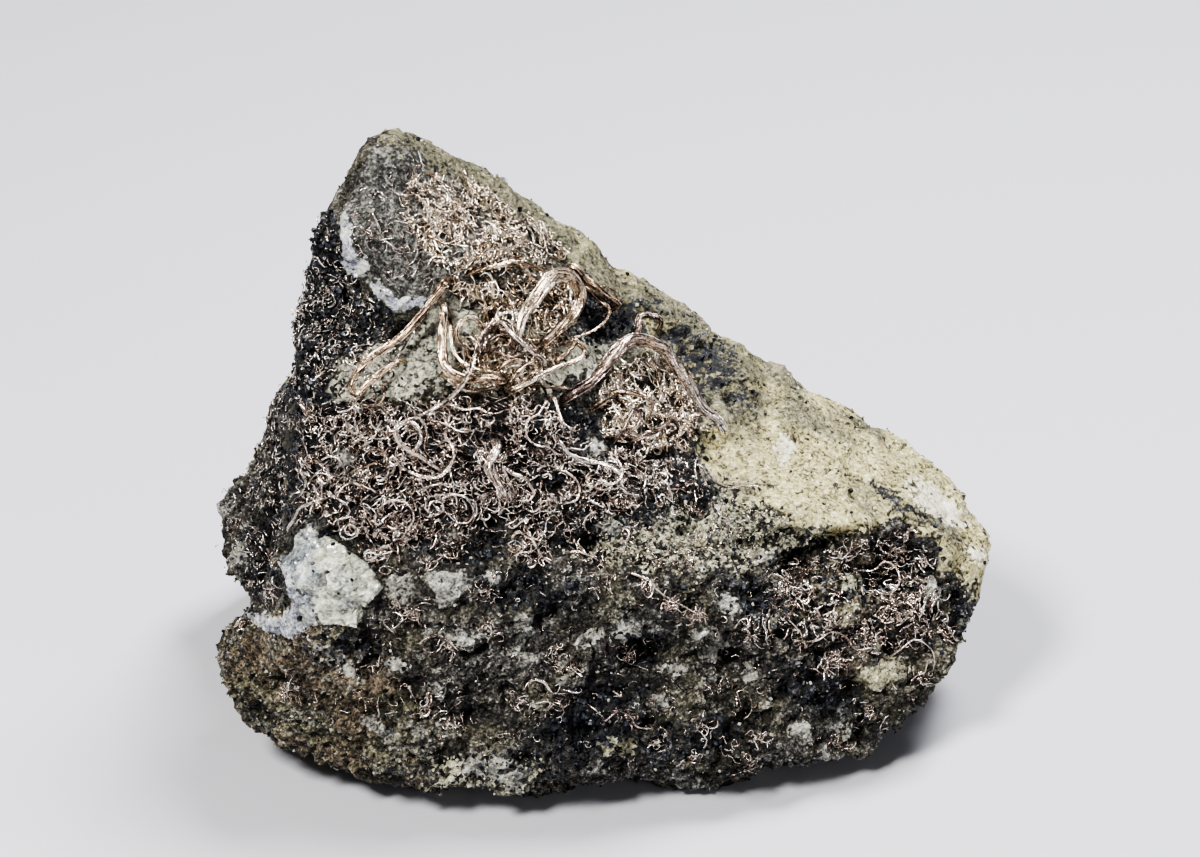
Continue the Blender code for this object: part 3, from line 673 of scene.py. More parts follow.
def paint_block():
    """The rock's finish: every mineral kind's colour, grain by grain, laid over the dark matrix."""
    made = Finish("veined rock", Specular_IOR_Level=0.35, Coat_Roughness=0.12)
    place = made.coordinates()
    broad = made.noise(place, 3.4, detail=4.0, roughness=0.6)
    clouding = made.noise(place, 5.5, detail=3.0)
    fine = made.noise(place, 0.45, detail=5.0, roughness=0.78)
    grit = made.cells(place, 0.38)
    dust = made.cells(place, 0.17)
    layers = made.noise(made.stretched(place, (0.35, 0.5, 1.3)), 1.6, detail=5.0, roughness=0.62)
    veil = made.noise(place, 2.4, detail=6.0, roughness=0.7)
    facet = made.cells(made.stretched(place, (0.6, 0.8, 1.2)), 0.9)
    # How light a spot is: its own grain's tone, the clouding round it, specks of dust, and painted shade that darkens
    # the hollows, where the relief is low.
    tone = fine * 0.9 + dust * 0.32 + grit * 0.25 + broad * 0.45 + made.attribute("height") * 0.3 - 0.61
    mottled = tone + (clouding - 0.5) * 0.5
    clearness = tone * 0.9 + (veil - 0.5) * 0.7 + (facet - 0.5) * 0.22
    rightward = made.axis(place, "X") + QUARTZ_OFFSET
    leftward = (rightward * -0.4).clamped()

    def shades(mineral, factor=tone):
        return made.ramp(factor, MINERAL_SHADES[mineral])

    moss, milky = shades("moss"), shades("milky", clearness)
    matrix = shades("matrix", tone * 0.85 + (layers - 0.5) * 0.55 + 0.08)
    matrix = made.mix(layers.above(0.55, 0.64) * 0.9, matrix, shades("seams"))
    ochre = made.mix(clouding.above(0.46, 0.58), shades("ochre"), moss)
    milkiness = (veil + rightward.clamped() * 0.12 - leftward * 0.12).above(0.46, 0.58)
    greyness = (clouding + made.axis(place, "Z") * 0.010).above(0.71, 0.86) * 0.9
    finishes = {
        "ochre": made.mix(layers.above(0.50, 0.60) * 0.5, ochre, matrix),
        "window": shades("window", mottled),
        "green": shades("green"),
        "slab": shades("slab"),
        "cream": made.mix(greyness, shades("tan"), shades("ashen", mottled)),
        "chalk": shades("chalk"),
        "black": shades("black"),
        "clast": shades("clast", clearness),
        "yellow": made.mix(layers.above(0.47, 0.56) * 0.65, shades("yellow"), moss),
        "quartz": made.mix(milkiness, shades("clear", clearness - leftward * 0.15), milky),
        "lilac": made.mix(veil.above(0.50, 0.60) * 0.7, shades("lilac", clearness), milky),
    }
    colour = made.mix((1 - clouding).above(0.46, 0.60) * 0.55, matrix, moss)
    for kind, mingle in LAID_OVER.items():
        shows = (made.attribute(kind) + (grit - 0.5) * mingle).above(0.4, 0.6)
        colour = made.mix(shows, colour, finishes[kind])
    crystal = made.attribute("quartz") + made.attribute("lilac")
    glassy = (crystal + made.attribute("black") * 0.8).clamped()
    rough = 0.85 - glassy * 0.30 - grit * glassy * 0.35
    relief = made.bump(fine * 0.6 + dust * 0.4, 0.2)
    return made.paint(Base_Color=colour, Roughness=rough, Coat_Weight=crystal.clamped() * 0.5, Normal=relief)


# Wire.

# Mats of fine curled wire: their outlines on the sketch plane.
MATS = {
    "mat_crown": [
        (-17.0, 22.5), (-11.5, 22.0), (-7.0, 19.0), (-3.0, 15.7), (-4.5, 14.5), (-9.5, 14.2), (-14.0, 14.0),
        (-16.0, 16.5), (-18.5, 19.5),
    ],
    "mat_nest": [
        (-13.5, 13.0), (-9.0, 13.4), (-3.5, 13.4), (-2.6, 10.5), (-5.0, 5.0), (-5.5, 3.4), (-12.5, 3.6),
        (-13.0, 6.5), (-10.0, 9.0),
    ],
    "mat_middle": [
        (-26.0, 2.0), (-20.0, 2.2), (-13.0, 2.4), (-6.0, 2.6), (-2.6, 0.0), (1.0, -2.0), (8.0, -3.5), (9.5, -5.5),
        (3.5, -7.0), (-3.0, -8.5), (-7.0, -11.5), (-12.0, -11.0), (-17.5, -10.5), (-21.0, -9.5), (-26.5, -8.5),
        (-27.0, -3.0),
    ],
    "mat_bow": [(-0.5, 2.8), (1.8, 5.2), (4.5, 6.5), (6.5, 4.5), (8.6, 0.0), (7.5, -2.0), (3.0, -1.8), (0.0, -0.6)],
    "mat_lower_right": [
        (15.0, -15.0), (20.0, -12.6), (27.0, -10.8), (31.0, -14.0), (30.5, -18.5), (25.0, -20.0), (18.0, -18.5),
        (13.5, -16.5),
    ],
}

DENSE_MATS = ("mat_crown", "mat_nest", "mat_middle", "mat_bow")  # their felts hide the rock under them

# Wires: (across, up, lift) in millimetres along the wire, and its half-thickness at root, middle and tip.
# Lift is the clear height above the rock or the mat under the wire.
WIRES = {
    "hairpin_wire": ((0.60, 0.48, 0.34), [
        (-13.9, 12.9, 0.0), (-14.8, 11.8, 0.2), (-15.7, 10.5, 0.6), (-17.6, 8.4, 0.9), (-20.1, 6.6, 1.0),
        (-21.3, 5.6, 0.9), (-22.0, 4.6, 0.6), (-22.3, 3.6, 0.3), (-21.7, 3.0, 0.4), (-20.9, 3.9, 0.9),
        (-19.7, 4.9, 0.7), (-18.1, 5.9, 0.1),
    ]),
    "hairpin_curl": ((0.26, 0.24, 0.20), [
        (-21.2, 2.2, 0.0), (-20.0, 2.1, 0.2), (-19.3, 2.9, 0.3), (-19.4, 4.0, 0.1),
    ]),
    "cradle_wire": ((0.50, 0.62, 0.50), [
        (-14.0, 10.6, 0.1), (-14.1, 9.2, 0.6), (-14.1, 7.3, 0.8), (-14.0, 5.9, 0.8), (-13.2, 4.9, 0.7),
        (-11.8, 4.4, 0.6), (-10.2, 4.6, 0.4), (-8.8, 4.4, 0.2),
    ]),
    "ring_wire": ((0.30, 0.32, 0.28), [
        (-10.6, 9.2, 0.2), (-11.3, 9.9, 0.5), (-12.2, 9.7, 0.8), (-12.8, 8.8, 0.9), (-12.6, 7.8, 0.6),
        (-11.7, 7.0, 0.2),
    ]),
    "arch_wire": ((0.38, 0.80, 0.42), [
        (-7.3, 8.2, 0.2), (-7.0, 9.6, 1.0), (-6.2, 11.0, 1.7), (-5.2, 12.4, 2.1), (-4.0, 13.6, 2.3),
        (-2.9, 13.6, 2.3), (-2.1, 12.7, 2.2), (-1.8, 11.5, 1.9), (-2.4, 10.2, 1.5), (-3.6, 8.9, 1.0),
        (-4.8, 7.8, 0.4),
    ]),
    "straight_bundle": ((0.46, 0.52, 0.36), [
        (-2.5, 14.5, 0.6), (-1.4, 13.5, 0.9), (-0.2, 12.5, 0.9), (0.8, 11.7, 0.6), (1.7, 11.1, 0.2),
    ]),
    "golden_tail": ((0.26, 0.24, 0.16), [
        (-1.2, 12.6, 0.0), (0.0, 11.4, 0.3), (0.8, 10.8, 0.5), (0.7, 9.9, 0.6), (-0.2, 9.0, 0.5), (-1.4, 8.4, 0.3),
        (-2.6, 8.0, 0.1),
    ]),
    "hook_wire": ((0.46, 0.38, 0.26), [
        (-7.7, 3.5, 0.1), (-6.0, 4.3, 0.5), (-4.3, 5.3, 0.9), (-2.9, 5.8, 1.0), (-1.7, 6.3, 0.9), (-1.4, 7.1, 0.7),
        (-2.2, 7.6, 0.4), (-3.4, 7.6, 0.1),
    ]),
    "white_strand": ((0.32, 0.42, 0.30), [(-8.8, 9.5, 0.9), (-7.6, 8.2, 1.1), (-6.2, 7.0, 0.8), (-4.9, 5.9, 0.0)]),
    "grey_strand": ((0.26, 0.30, 0.20), [
        (-9.8, 9.2, 0.9), (-10.7, 8.2, 1.1), (-11.1, 6.6, 1.9), (-11.6, 5.1, 2.1), (-12.3, 3.9, 1.5),
        (-13.8, 2.4, 0.6), (-16.0, 1.2, 0.2),
    ]),
    "bow_wire": ((0.46, 0.62, 0.42), [
        (-2.4, 3.2, 0.2), (-0.8, 4.2, 0.9), (0.5, 5.7, 1.5), (1.5, 7.0, 1.7), (2.7, 7.9, 1.6), (4.1, 7.9, 1.5),
        (5.4, 7.3, 1.6), (6.5, 6.0, 1.8), (7.6, 4.4, 1.8), (8.6, 2.7, 1.4), (9.3, 1.6, 0.8), (10.3, 0.9, 0.4),
        (11.0, -0.1, 0.1),
    ]),
    "bow_stump": ((0.46, 0.38, 0.24), [(3.4, 9.0, 0.3), (3.6, 10.0, 0.6), (4.6, 10.1, 0.5), (5.5, 9.7, 0.1)]),
    "ring_loop": ((0.28, 0.34, 0.30), [
        (-14.6, -3.5, 0.2), (-16.2, -2.5, 0.5), (-17.8, -1.4, 0.9), (-18.3, -0.2, 1.1), (-17.5, 0.6, 1.2),
        (-16.4, 0.2, 1.1), (-16.0, -0.9, 0.9), (-16.4, -1.7, 1.6),
    ]),
    "outer_loop": ((0.20, 0.20, 0.16), [
        (-17.8, -3.4, 0.1), (-16.2, -4.2, 0.3), (-14.3, -4.3, 0.8), (-13.3, -3.2, 0.6), (-13.1, -1.9, 0.5),
        (-13.9, -0.5, 0.1),
    ]),
    "flat_strap": ((0.34, 0.42, 0.26), [
        (-9.2, -1.6, 0.2), (-9.7, -2.7, 0.4), (-9.9, -3.6, 0.5), (-9.2, -4.8, 0.4), (-8.6, -5.9, 0.1),
    ]),
    "curved_tail": ((0.20, 0.22, 0.16), [
        (-3.6, -1.1, 0.1), (-2.8, -2.2, 0.3), (-1.3, -2.8, 0.4), (0.6, -3.3, 0.3), (1.9, -4.2, 0.1),
    ]),
    "nest_strand": ((0.20, 0.28, 0.20), [
        (0.6, 2.6, 0.1), (1.4, 3.2, 0.4), (2.7, 3.1, 0.6), (4.0, 2.7, 0.4), (4.7, 2.1, 0.1),
    ]),
}
WIRE_STEP = 1.1  # spacing of the points along a wire's first route
GAP = 0.4  # clear space between the CAD rock and a CAD wire
STEEPEST = 0.6  # on rock steeper than this to the eye, wires stand no further out along the sight line

# Loose wires between the large ones: half-thickness, tone, how high the middle arches, route on the sketch plane.
LOOSE_WIRES = {
    "upper_arc": (0.34, 0.42, 0.5, [(-10.5, 14.3), (-9.4, 14.5), (-8.0, 14.7), (-7.2, 14.5), (-6.3, 13.7)]),
    "upper_arc_right": (0.32, 0.42, 0.7, [(-8.5, 14.9), (-7.2, 14.9), (-5.4, 14.3), (-4.5, 14.2), (-3.0, 13.6)]),
    "bundle_lower": (0.30, 0.35, 0.4, [(-2.5, 13.5), (-1.8, 12.9), (-0.9, 12.2), (0.0, 11.5), (0.7, 11.0)]),
    "bundle_upper": (0.26, 0.40, 0.3, [(-0.9, 13.1), (0.0, 12.7), (0.9, 12.6), (1.6, 11.7)]),
    "white_whisker": (0.16, 0.74, 0.3, [(-16.6, 8.6), (-17.2, 7.7), (-17.7, 7.0), (-18.3, 6.2)]),
    "amber_strip": (0.24, 0.35, 0.4, [(-5.7, 3.8), (-4.9, 3.7), (-4.0, 3.7), (-2.9, 3.6)]),
    "copper_wire": (0.28, 0.30, 1.0, [(0.5, 2.4), (1.1, 3.2), (2.0, 3.4), (3.1, 3.1), (4.0, 2.7), (4.8, 2.2)]),
    "purple_knot": (0.34, 0.34, 0.9, [(2.0, -0.3), (2.5, 0.8), (3.2, 1.8), (3.6, 0.9), (3.0, -0.1)]),
    "purple_knot_low": (0.34, 0.36, 0.9, [(3.6, -0.8), (4.9, -0.3), (5.8, 0.3), (6.4, 0.8), (7.0, -0.1)]),
    "bow_tail": (0.24, 0.70, 0.3, [(8.0, 1.0), (8.9, 1.2), (9.8, 1.1), (10.4, 0.6), (10.9, -0.2)]),
    "bow_tail_low": (0.22, 0.74, 0.3, [(8.2, 1.1), (8.9, 0.2), (10.0, 0.0)]),
    "low_tail": (0.18, 0.74, 0.3, [
        (8.9, -3.3), (9.7, -4.2), (10.5, -4.9), (11.6, -5.3), (13.0, -5.2), (14.3, -5.2),
    ]),
    "small_bend": (0.20, 0.74, 0.7, [(-4.2, 2.8), (-3.8, 2.1), (-3.6, 1.2), (-3.1, 0.3), (-2.5, -0.1)]),
    "flat_dash": (0.17, 0.70, 0.3, [(-2.2, -11.0), (-1.1, -11.3), (0.0, -11.8)]),
    "slanted_dash": (0.17, 0.74, 0.3, [(-6.4, -9.3), (-5.8, -10.4), (-5.2, -11.4), (-4.6, -11.9)]),
    "s_curl": (0.19, 0.74, 0.8, [
        (-21.5, -5.1), (-22.5, -4.9), (-23.2, -5.5), (-23.5, -6.2), (-22.8, -6.7), (-22.4, -7.4), (-22.6, -7.9),
        (-23.6, -8.2),
    ]),
    "orange_wire": (0.17, 0.28, 0.8, [(-22.1, -3.8), (-21.0, -3.4), (-20.1, -3.1), (-19.5, -3.3)]),
    "edge_wire": (0.20, 0.74, 0.6, [(-27.9, -9.1), (-27.4, -8.2), (-26.8, -7.1), (-25.9, -6.7), (-25.2, -6.4)]),
    "long_pink_wire": (0.13, 0.55, 0.3, [
        (2.6, -12.9), (4.2, -13.5), (5.5, -14.8), (7.2, -15.7), (8.4, -16.4), (9.7, -17.0),
    ]),
    "round_coil": (0.20, 0.74, 0.6, [
        (-7.7, -5.9), (-8.0, -5.0), (-8.7, -3.4), (-7.9, -4.0), (-6.8, -4.4), (-6.2, -5.2), (-5.9, -5.9),
        (-6.5, -6.5), (-7.3, -6.4),
    ]),
    "coil_wisp": (0.17, 0.74, 0.5, [
        (-3.8, -1.0), (-3.0, -1.9), (-2.0, -2.8), (-0.9, -3.1), (0.3, -3.1), (1.2, -3.5),
    ]),
    # grey_tangle_a, _b and _d are dark partly as painted shade, since they lie in the shade of the nest.
    "grey_tangle_a": (0.24, 0.26, 0.9, [
        (-10.5, 6.8), (-10.4, 8.1), (-9.7, 9.2), (-8.7, 9.7), (-7.9, 9.2), (-7.7, 8.1),
    ]),
    "grey_tangle_b": (0.22, 0.34, 1.1, [
        (-10.0, 7.5), (-9.2, 8.3), (-8.0, 8.3), (-7.3, 7.6), (-7.7, 6.7), (-8.6, 6.5), (-9.1, 7.2),
    ]),
    "grey_tangle_c": (0.18, 0.74, 1.0, [
        (-10.2, 8.8), (-9.3, 9.9), (-8.2, 10.4), (-7.4, 10.1), (-7.0, 9.2), (-7.5, 8.4),
    ]),
    "grey_tangle_d": (0.22, 0.24, 0.7, [(-10.7, 6.5), (-9.7, 7.0), (-8.4, 7.4), (-7.0, 6.8), (-5.5, 7.0)]),
    "cradle_strand": (0.30, 0.50, 0.9, [
        (-13.8, 11.0), (-13.4, 9.7), (-13.2, 8.1), (-13.0, 6.8), (-12.3, 5.9), (-11.2, 5.3), (-9.8, 5.1),
        (-8.5, 4.9),
    ]),
    "cradle_lower": (0.28, 0.40, 0.4, [(-13.6, 4.5), (-12.7, 3.8), (-11.4, 3.4), (-10.0, 3.5), (-8.7, 3.8)]),
    "golden_inner": (0.26, 0.42, 1.0, [(-8.2, 3.8), (-7.2, 5.1), (-6.3, 5.9), (-5.7, 5.4), (-6.4, 4.5)]),
    "golden_hook": (0.28, 0.40, 0.9, [
        (-8.9, 5.4), (-7.9, 6.1), (-6.8, 5.9), (-6.3, 5.1), (-7.0, 4.0), (-8.2, 3.6),
    ]),
    "golden_leaf": (0.36, 0.45, 0.7, [(-3.9, 5.9), (-3.0, 6.7), (-2.4, 7.4), (-2.1, 8.1)]),
    "crown_wire_a": (0.13, 0.60, 0.0, [(-16.3, 20.8), (-15.4, 19.9), (-14.3, 19.4), (-13.2, 19.5), (-12.3, 20.2)]),
    "crown_wire_b": (0.13, 0.62, 0.0, [(-15.0, 17.0), (-13.8, 16.5), (-12.5, 16.9), (-11.3, 16.3), (-10.0, 16.7)]),
    "crown_wire_c": (0.14, 0.58, 0.0, [
        (-12.3, 18.5), (-11.3, 17.7), (-10.0, 17.9), (-8.9, 17.2), (-7.7, 17.6), (-6.8, 16.9),
    ]),
    "crown_wire_d": (0.15, 0.60, 0.0, [(-10.7, 15.4), (-9.7, 16.3), (-8.4, 16.0), (-7.2, 16.3), (-5.9, 15.6)]),
    "slab_scratch": (0.12, 0.74, 0.3, [(-20.4, 19.4), (-19.7, 17.9), (-19.3, 16.9), (-18.1, 16.0)]),
    "slab_scratch_b": (0.10, 0.74, 0.3, [(-20.9, 17.6), (-19.8, 16.9), (-18.6, 17.0)]),
    "twist_left": (0.19, 0.74, 0.8, [
        (-18.0, -0.3), (-17.5, 0.6), (-16.6, 1.0), (-15.7, 0.4), (-15.5, -0.7), (-15.7, -1.7),
    ]),
    "hanging_loop": (0.16, 0.74, 0.8, [
        (-4.8, 2.4), (-5.5, 1.3), (-6.4, 0.8), (-6.6, -0.5), (-5.9, -1.4), (-4.8, -1.6),
    ]),
    "nest_link": (0.16, 0.74, 0.7, [(-13.6, 2.2), (-12.3, 1.7), (-10.9, 1.8), (-9.7, 1.3), (-8.2, 1.7)]),
    "nest_link_low": (0.14, 0.74, 0.7, [(-15.2, 0.8), (-13.8, 0.4), (-12.5, -0.3), (-11.1, -0.1)]),
    "mat_arc_a": (0.16, 0.74, 0.8, [(-3.6, -3.7), (-2.5, -4.2), (-1.8, -5.3), (-2.1, -6.4), (-3.2, -6.7)]),
    "mat_arc_b": (0.16, 0.74, 0.8, [(0.5, -2.1), (1.6, -2.8), (2.0, -4.1), (1.1, -5.0), (0.0, -4.6)]),
    "mat_arc_c": (0.14, 0.74, 0.7, [
        (-14.3, -6.4), (-13.2, -5.9), (-12.0, -6.2), (-11.3, -7.3), (-11.8, -8.4), (-13.1, -8.5),
    ]),
    "mat_arc_d": (0.16, 0.74, 0.7, [
        (-19.7, -7.1), (-18.6, -6.4), (-17.3, -6.7), (-16.6, -7.8), (-17.2, -8.9), (-18.4, -9.1),
    ]),
    "mat_arc_e": (0.14, 0.74, 0.7, [(-25.2, -3.0), (-24.1, -2.5), (-23.1, -3.0), (-22.7, -4.1)]),
    "mat_arc_f": (0.14, 0.74, 0.7, [(-26.8, -3.7), (-26.3, -4.8), (-26.8, -5.9), (-27.5, -6.7)]),
    "low_spray_a": (0.17, 0.65, 0.4, [(-15.7, -18.9), (-14.7, -18.4), (-13.6, -18.9), (-12.7, -19.8)]),
    "low_spray_b": (0.17, 0.65, 0.4, [(-6.8, -23.4), (-6.1, -22.5), (-5.0, -22.7), (-4.3, -23.6), (-3.4, -23.7)]),
    "low_spray_c": (0.17, 0.60, 0.4, [(0.5, -26.1), (1.6, -25.3), (2.7, -25.7), (3.2, -26.6), (4.5, -26.8)]),
    "right_spray_a": (0.14, 0.65, 0.5, [(14.5, -13.7), (15.4, -13.0), (16.4, -13.4), (17.2, -14.4), (18.4, -14.6)]),
    "right_spray_b": (0.14, 0.65, 0.5, [(19.5, -18.9), (20.7, -18.2), (22.0, -18.7), (22.9, -19.8), (24.3, -19.6)]),
    "right_spray_c": (0.14, 0.65, 0.5, [(24.3, -12.7), (25.4, -11.9), (26.5, -12.5), (26.8, -13.7), (26.1, -14.6)]),
    "right_spray_d": (0.14, 0.60, 0.5, [(26.8, -19.8), (28.1, -18.9), (29.3, -19.4), (29.9, -20.5)]),
}
# Small spirals in the mat: across, up, radius, turns, half-thickness and tone.
SPIRALS = [
    (-20.5, -11.4, 1.0, 2.2, 0.13, 0.80), (-19.0, -10.9, 0.8, 1.8, 0.13, 0.80),
    (-19.0, -12.7, 0.9, 1.2, 0.10, 0.90), (-22.3, -9.1, 0.9, 1.8, 0.12, 0.80), (-18.4, -3.0, 0.5, 1.2, 0.14, 0.75),
    (-7.0, -11.6, 0.9, 1.1, 0.10, 0.80), (-24.6, -4.4, 0.8, 1.5, 0.12, 0.72), (-14.8, -7.2, 0.9, 1.6, 0.12, 0.76),
    (-1.2, -5.4, 0.8, 1.4, 0.11, 0.74),
]


def spiral_route(across, up, radius, turns):
    """Points of a spiral on the sketch plane, from its rim to its middle."""
    steps = round(9 * turns)
    squash = 0.7 + 0.25 * math.sin(5.0 * across)
    route = []
    for i in range(steps + 1):
        angle = math.tau * turns * i / steps + across
        reach = radius * (1.0 - 0.65 * i / steps) * (1.0 + 0.75 * wave(across, up, 0.45 * i))
        route.append((across + reach * math.cos(angle), up + squash * reach * math.sin(angle)))
    return route


def smooth_route(points, step):
    """Points about a step apart on a smooth curve through the points given."""
    ends = [2 * points[0] - points[1], *points, 2 * points[-1] - points[-2]]
    route = []
    for before, start, end, after in zip(ends, ends[1:], ends[2:], ends[3:]):
        count = max(1, round((end - start).length / step))
        for i in range(count):
            t = i / count
            linear = (end - before) * t + (2 * before - 5 * start + 4 * end - after) * t * t
            route.append(start + 0.5 * (linear + (3 * start - before - 3 * end + after) * t ** 3))
    return [*route, points[-1]]


def along_three(share, three):
    """A value that runs from the first of three numbers through the second to the third."""
    root, middle, tip = three
    if share < 0.5:
        return root + (middle - root) * 2 * share
    return middle + (tip - middle) * (2 * share - 1)


def ground_of(*names):
    """A tree of CAD nodes' faces, in millimetres."""
    ground = bmesh.new()
    for name in names:
        ground.from_mesh(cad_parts[name].data)
    bmesh.ops.scale(ground, vec=Vector((1.0, 1.0, 1.0)) / MM, verts=ground.verts)
    tree = BVHTree.FromBMesh(ground)
    ground.free()
    return tree


def laid_route(ground, points, radii):
    """Where the CAD lays a wire: its route dropped from the eye on to the ground, (places, half-thicknesses)."""
    route = smooth_route([Vector(point) for point in points], WIRE_STEP)
    last = len(route) - 1
    thick = [along_three(i / last, radii) for i in range(last + 1)]
    rays = [(from_sketch(p.x, p.y) - EYE).normalized() for p in route]
    depths = []
    for ray, radius, point in zip(rays, thick, route):
        _, normal, _, distance = ground.ray_cast(EYE, ray)
        slope = max(STEEPEST, -normal.dot(ray))
        depths.append(distance - (GAP + radius) / slope - point.z)
    near = [slice(max(0, i - 1), i + 2) for i in range(last + 1)]
    highest = [min(depths[span]) for span in near]
    eased = [sum(highest[span]) / len(highest[span]) for span in near]
    return [EYE + ray * min(depth, limit) for ray, depth, limit in zip(rays, eased, depths)], thick


def wire_section(points):
    """A closed curve to sweep along a wire: the points of its section, for a half-thickness of 1."""
    data = bpy.data.curves.new("wire section", "CURVE")
    spline = data.splines.new("POLY")
    spline.points.add(len(points) - 1)
    spline.use_cyclic_u = True
    for point, (x, y) in zip(spline.points, points):
        point.co = (x, y, 0.0, 1.0)
    return new_object("wire section", data)


def ribbed_section(ribs, depth, flatness):
    """A wire's section: flattened, with ribs of unequal depth along it."""
    points = []
    for i in range(4 * ribs):
        angle = math.tau * i / (4 * ribs)
        reach = 1.0 - depth * (0.5 + 0.5 * math.cos(ribs * angle)) * (0.6 + 0.4 * math.sin(2 * angle + 1.0))
        points.append((reach * math.cos(angle), reach * math.sin(angle) * flatness))
    return wire_section(points)


def strand(places, thick, tones, rng, tilts):
    """One strand: its places and half-thicknesses in millimetres, its lightness and twist along it, and a seed."""
    return {"places": places, "thick": thick, "tones": tones, "tilts": tilts,
            "seed": [rng.uniform(-50.0, 50.0) for _ in range(3)]}


PATTERN_STRETCH = 0.07  # how fast a pattern runs along a strand, against how fast it runs across
CAP_SEAM = 0.001  # a strand's caps are merged to its sides within this distance, in millimetres


def wire_mesh(name, strands, section):
    """One mesh of many strands. "tone" is their lightness, and "lengthwise" places a pattern drawn out along them."""
    curve = bpy.data.curves.new(name, "CURVE")
    curve.dimensions = "3D"
    curve.use_fill_caps = True
    curve.bevel_mode = "OBJECT"
    curve.bevel_object = section
    for each in strands:
        spline = curve.splines.new("POLY")
        spline.points.add(len(each["places"]) - 1)
        for point, place, thick, tilt in zip(spline.points, each["places"], each["thick"], each["tilts"]):
            point.co = (*(place * MM), 1.0)
            point.radius = thick * MM
            point.tilt = tilt
    wires = new_object(name, curve)
    bpy.ops.object.convert(target="MESH")
    corners = [Vector(p.co[:2]) for p in section.data.splines[0].points]
    tones, lengthwise, cap_tones, caps = [], [], [], []
    for each in strands:
        places, thick, seed = each["places"], each["thick"], np.array(each["seed"])
        along = np.cumsum([0.0] + [(b - a).length for a, b in zip(places, places[1:])])
        rings = [[(c.x * t, c.y * t, PATTERN_STRETCH * d) for c in corners] for t, d in zip(thick, along)]
        rings = np.array(rings) + seed
        tones.append(np.repeat(each["tones"], len(corners)))
        lengthwise.append(rings.reshape(-1, 3))
        cap_tones.append(np.repeat([each["tones"][-1], each["tones"][0]], len(corners)))
        caps.append(np.concatenate([rings[-1], rings[0]]))
    # The mesh holds the caps first, from the last strand to the first, and then the strands in order.
    set_attribute(wires.data, "tone", np.concatenate(cap_tones[::-1] + tones))
    set_attribute(wires.data, "lengthwise", np.concatenate(caps[::-1] + lengthwise))
    merge_doubles(CAP_SEAM)
    bpy.ops.object.shade_smooth()
    return wires


def finish_piece(piece, material, slot, *nodes):
    """Gives a piece its material, hangs it on the root body, and hides the CAD nodes it stands in for."""
    piece.data.materials.clear()
    piece.data.materials.append(material)
    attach(piece, "root")
    if nodes:
        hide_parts(*nodes)


FINE_STEP = 0.40  # spacing of the points along a finished wire
CORE_SHARE = 0.62  # thickness of a large wire's core against its CAD solid's
FULLER = {"arch_wire": 1.4, "bow_wire": 1.6, "bow_stump": 1.3, "flat_strap": 1.7}  # wires whose threads spread wider
COVER_REACH = CORE_SHARE * 0.86  # how far its threads' middles stand from its own
THREAD_SHARE = (0.13, 0.26)  # thickness of the threads that cover the core
THREADS = 8
LOOSE_SHARE = 0.72  # the same for a loose wire, which has only two threads
LOOSE_REACH = 0.6
SPIRAL_ARCH = 0.4  # how high a spiral arches, as for the other loose wires
# Lightness at the root, half-way and at the tip, from 0, tarnished dark, to 1, bright.
WIRE_TONES = {
    "hairpin_wire": (0.14, 0.42, 0.44), "hairpin_curl": (0.36, 0.36, 0.34), "cradle_wire": (0.50, 0.46, 0.38),
    "ring_wire": (0.66, 0.60, 0.45), "arch_wire": (0.62, 0.58, 0.24), "straight_bundle": (0.40, 0.30, 0.30),
    "golden_tail": (0.32, 0.42, 0.50), "hook_wire": (0.45, 0.74, 0.36), "white_strand": (0.60, 0.80, 0.62),
    "grey_strand": (0.20, 0.50, 0.80), "bow_wire": (0.24, 0.54, 0.96), "bow_stump": (0.35, 0.25, 0.60),
    "ring_loop": (0.62, 0.72, 0.64), "outer_loop": (0.60, 0.72, 0.60), "flat_strap": (0.60, 0.80, 0.60),
    "curved_tail": (0.60, 0.76, 0.60), "nest_strand": (0.35, 0.30, 0.45),
}


def rooted(places, thick, ground):
    """The route with its two ends bent down into the rock."""
    def down(end, before):
        onward = (end - before).normalized()
        spot, normal, _, _ = ground.find_nearest(end)
        return spot + 0.7 * onward - 0.5 * normal
    first = down(places[0], places[1])
    last = down(places[-1], places[-2])
    return [first, *places, last], [0.85 * thick[0], *thick, 0.8 * thick[-1]]


def fine_route(places, thick):
    """The route again with many more points, carrying its thickness as a fourth number."""
    both = smooth_route([Vector((*place, radius)) for place, radius in zip(places, thick)], FINE_STEP)
    return [Vector(p[:3]) for p in both], [p[3] for p in both]


def thread_on(places, thick, tones, rng, reach):
    """A thin thread that winds slowly along a wire, and leaves it a little here and there."""
    phase = rng.uniform(0.0, math.tau)
    pace = rng.uniform(-0.16, 0.16)
    last = len(places) - 1
    start = rng.choice((0, 0, rng.randint(0, last // 3)))
    stop = rng.choice((last, last, rng.randint(2 * last // 3, last)))
    share = rng.uniform(*THREAD_SHARE)
    shift = rng.uniform(-0.30, 0.30)
    line, slim, tinge = [], [], []
    for i in range(start, stop + 1):
        along = (places[min(i + 1, last)] - places[max(i - 1, 0)]).normalized()
        side = along.cross(TO_EYE).normalized()
        out = along.cross(side)
        angle = phase + pace * i * FINE_STEP + 0.5 * wave(phase, 0.2 * i, 4.0)
        stray = reach * (1.0 + 0.28 * wave(phase, 0.16 * i, 0.0))
        line.append(places[i] + thick[i] * stray * (math.cos(angle) * side + 0.75 * math.sin(angle) * out))
        slim.append(share * thick[i] * (1.0 + 0.25 * wave(phase, 0.3 * i, 9.0)))
        tinge.append(held(tones[i] + shift))
    return strand(line, slim, tinge, rng, [phase + 0.3 * i * pace for i in range(len(line))])


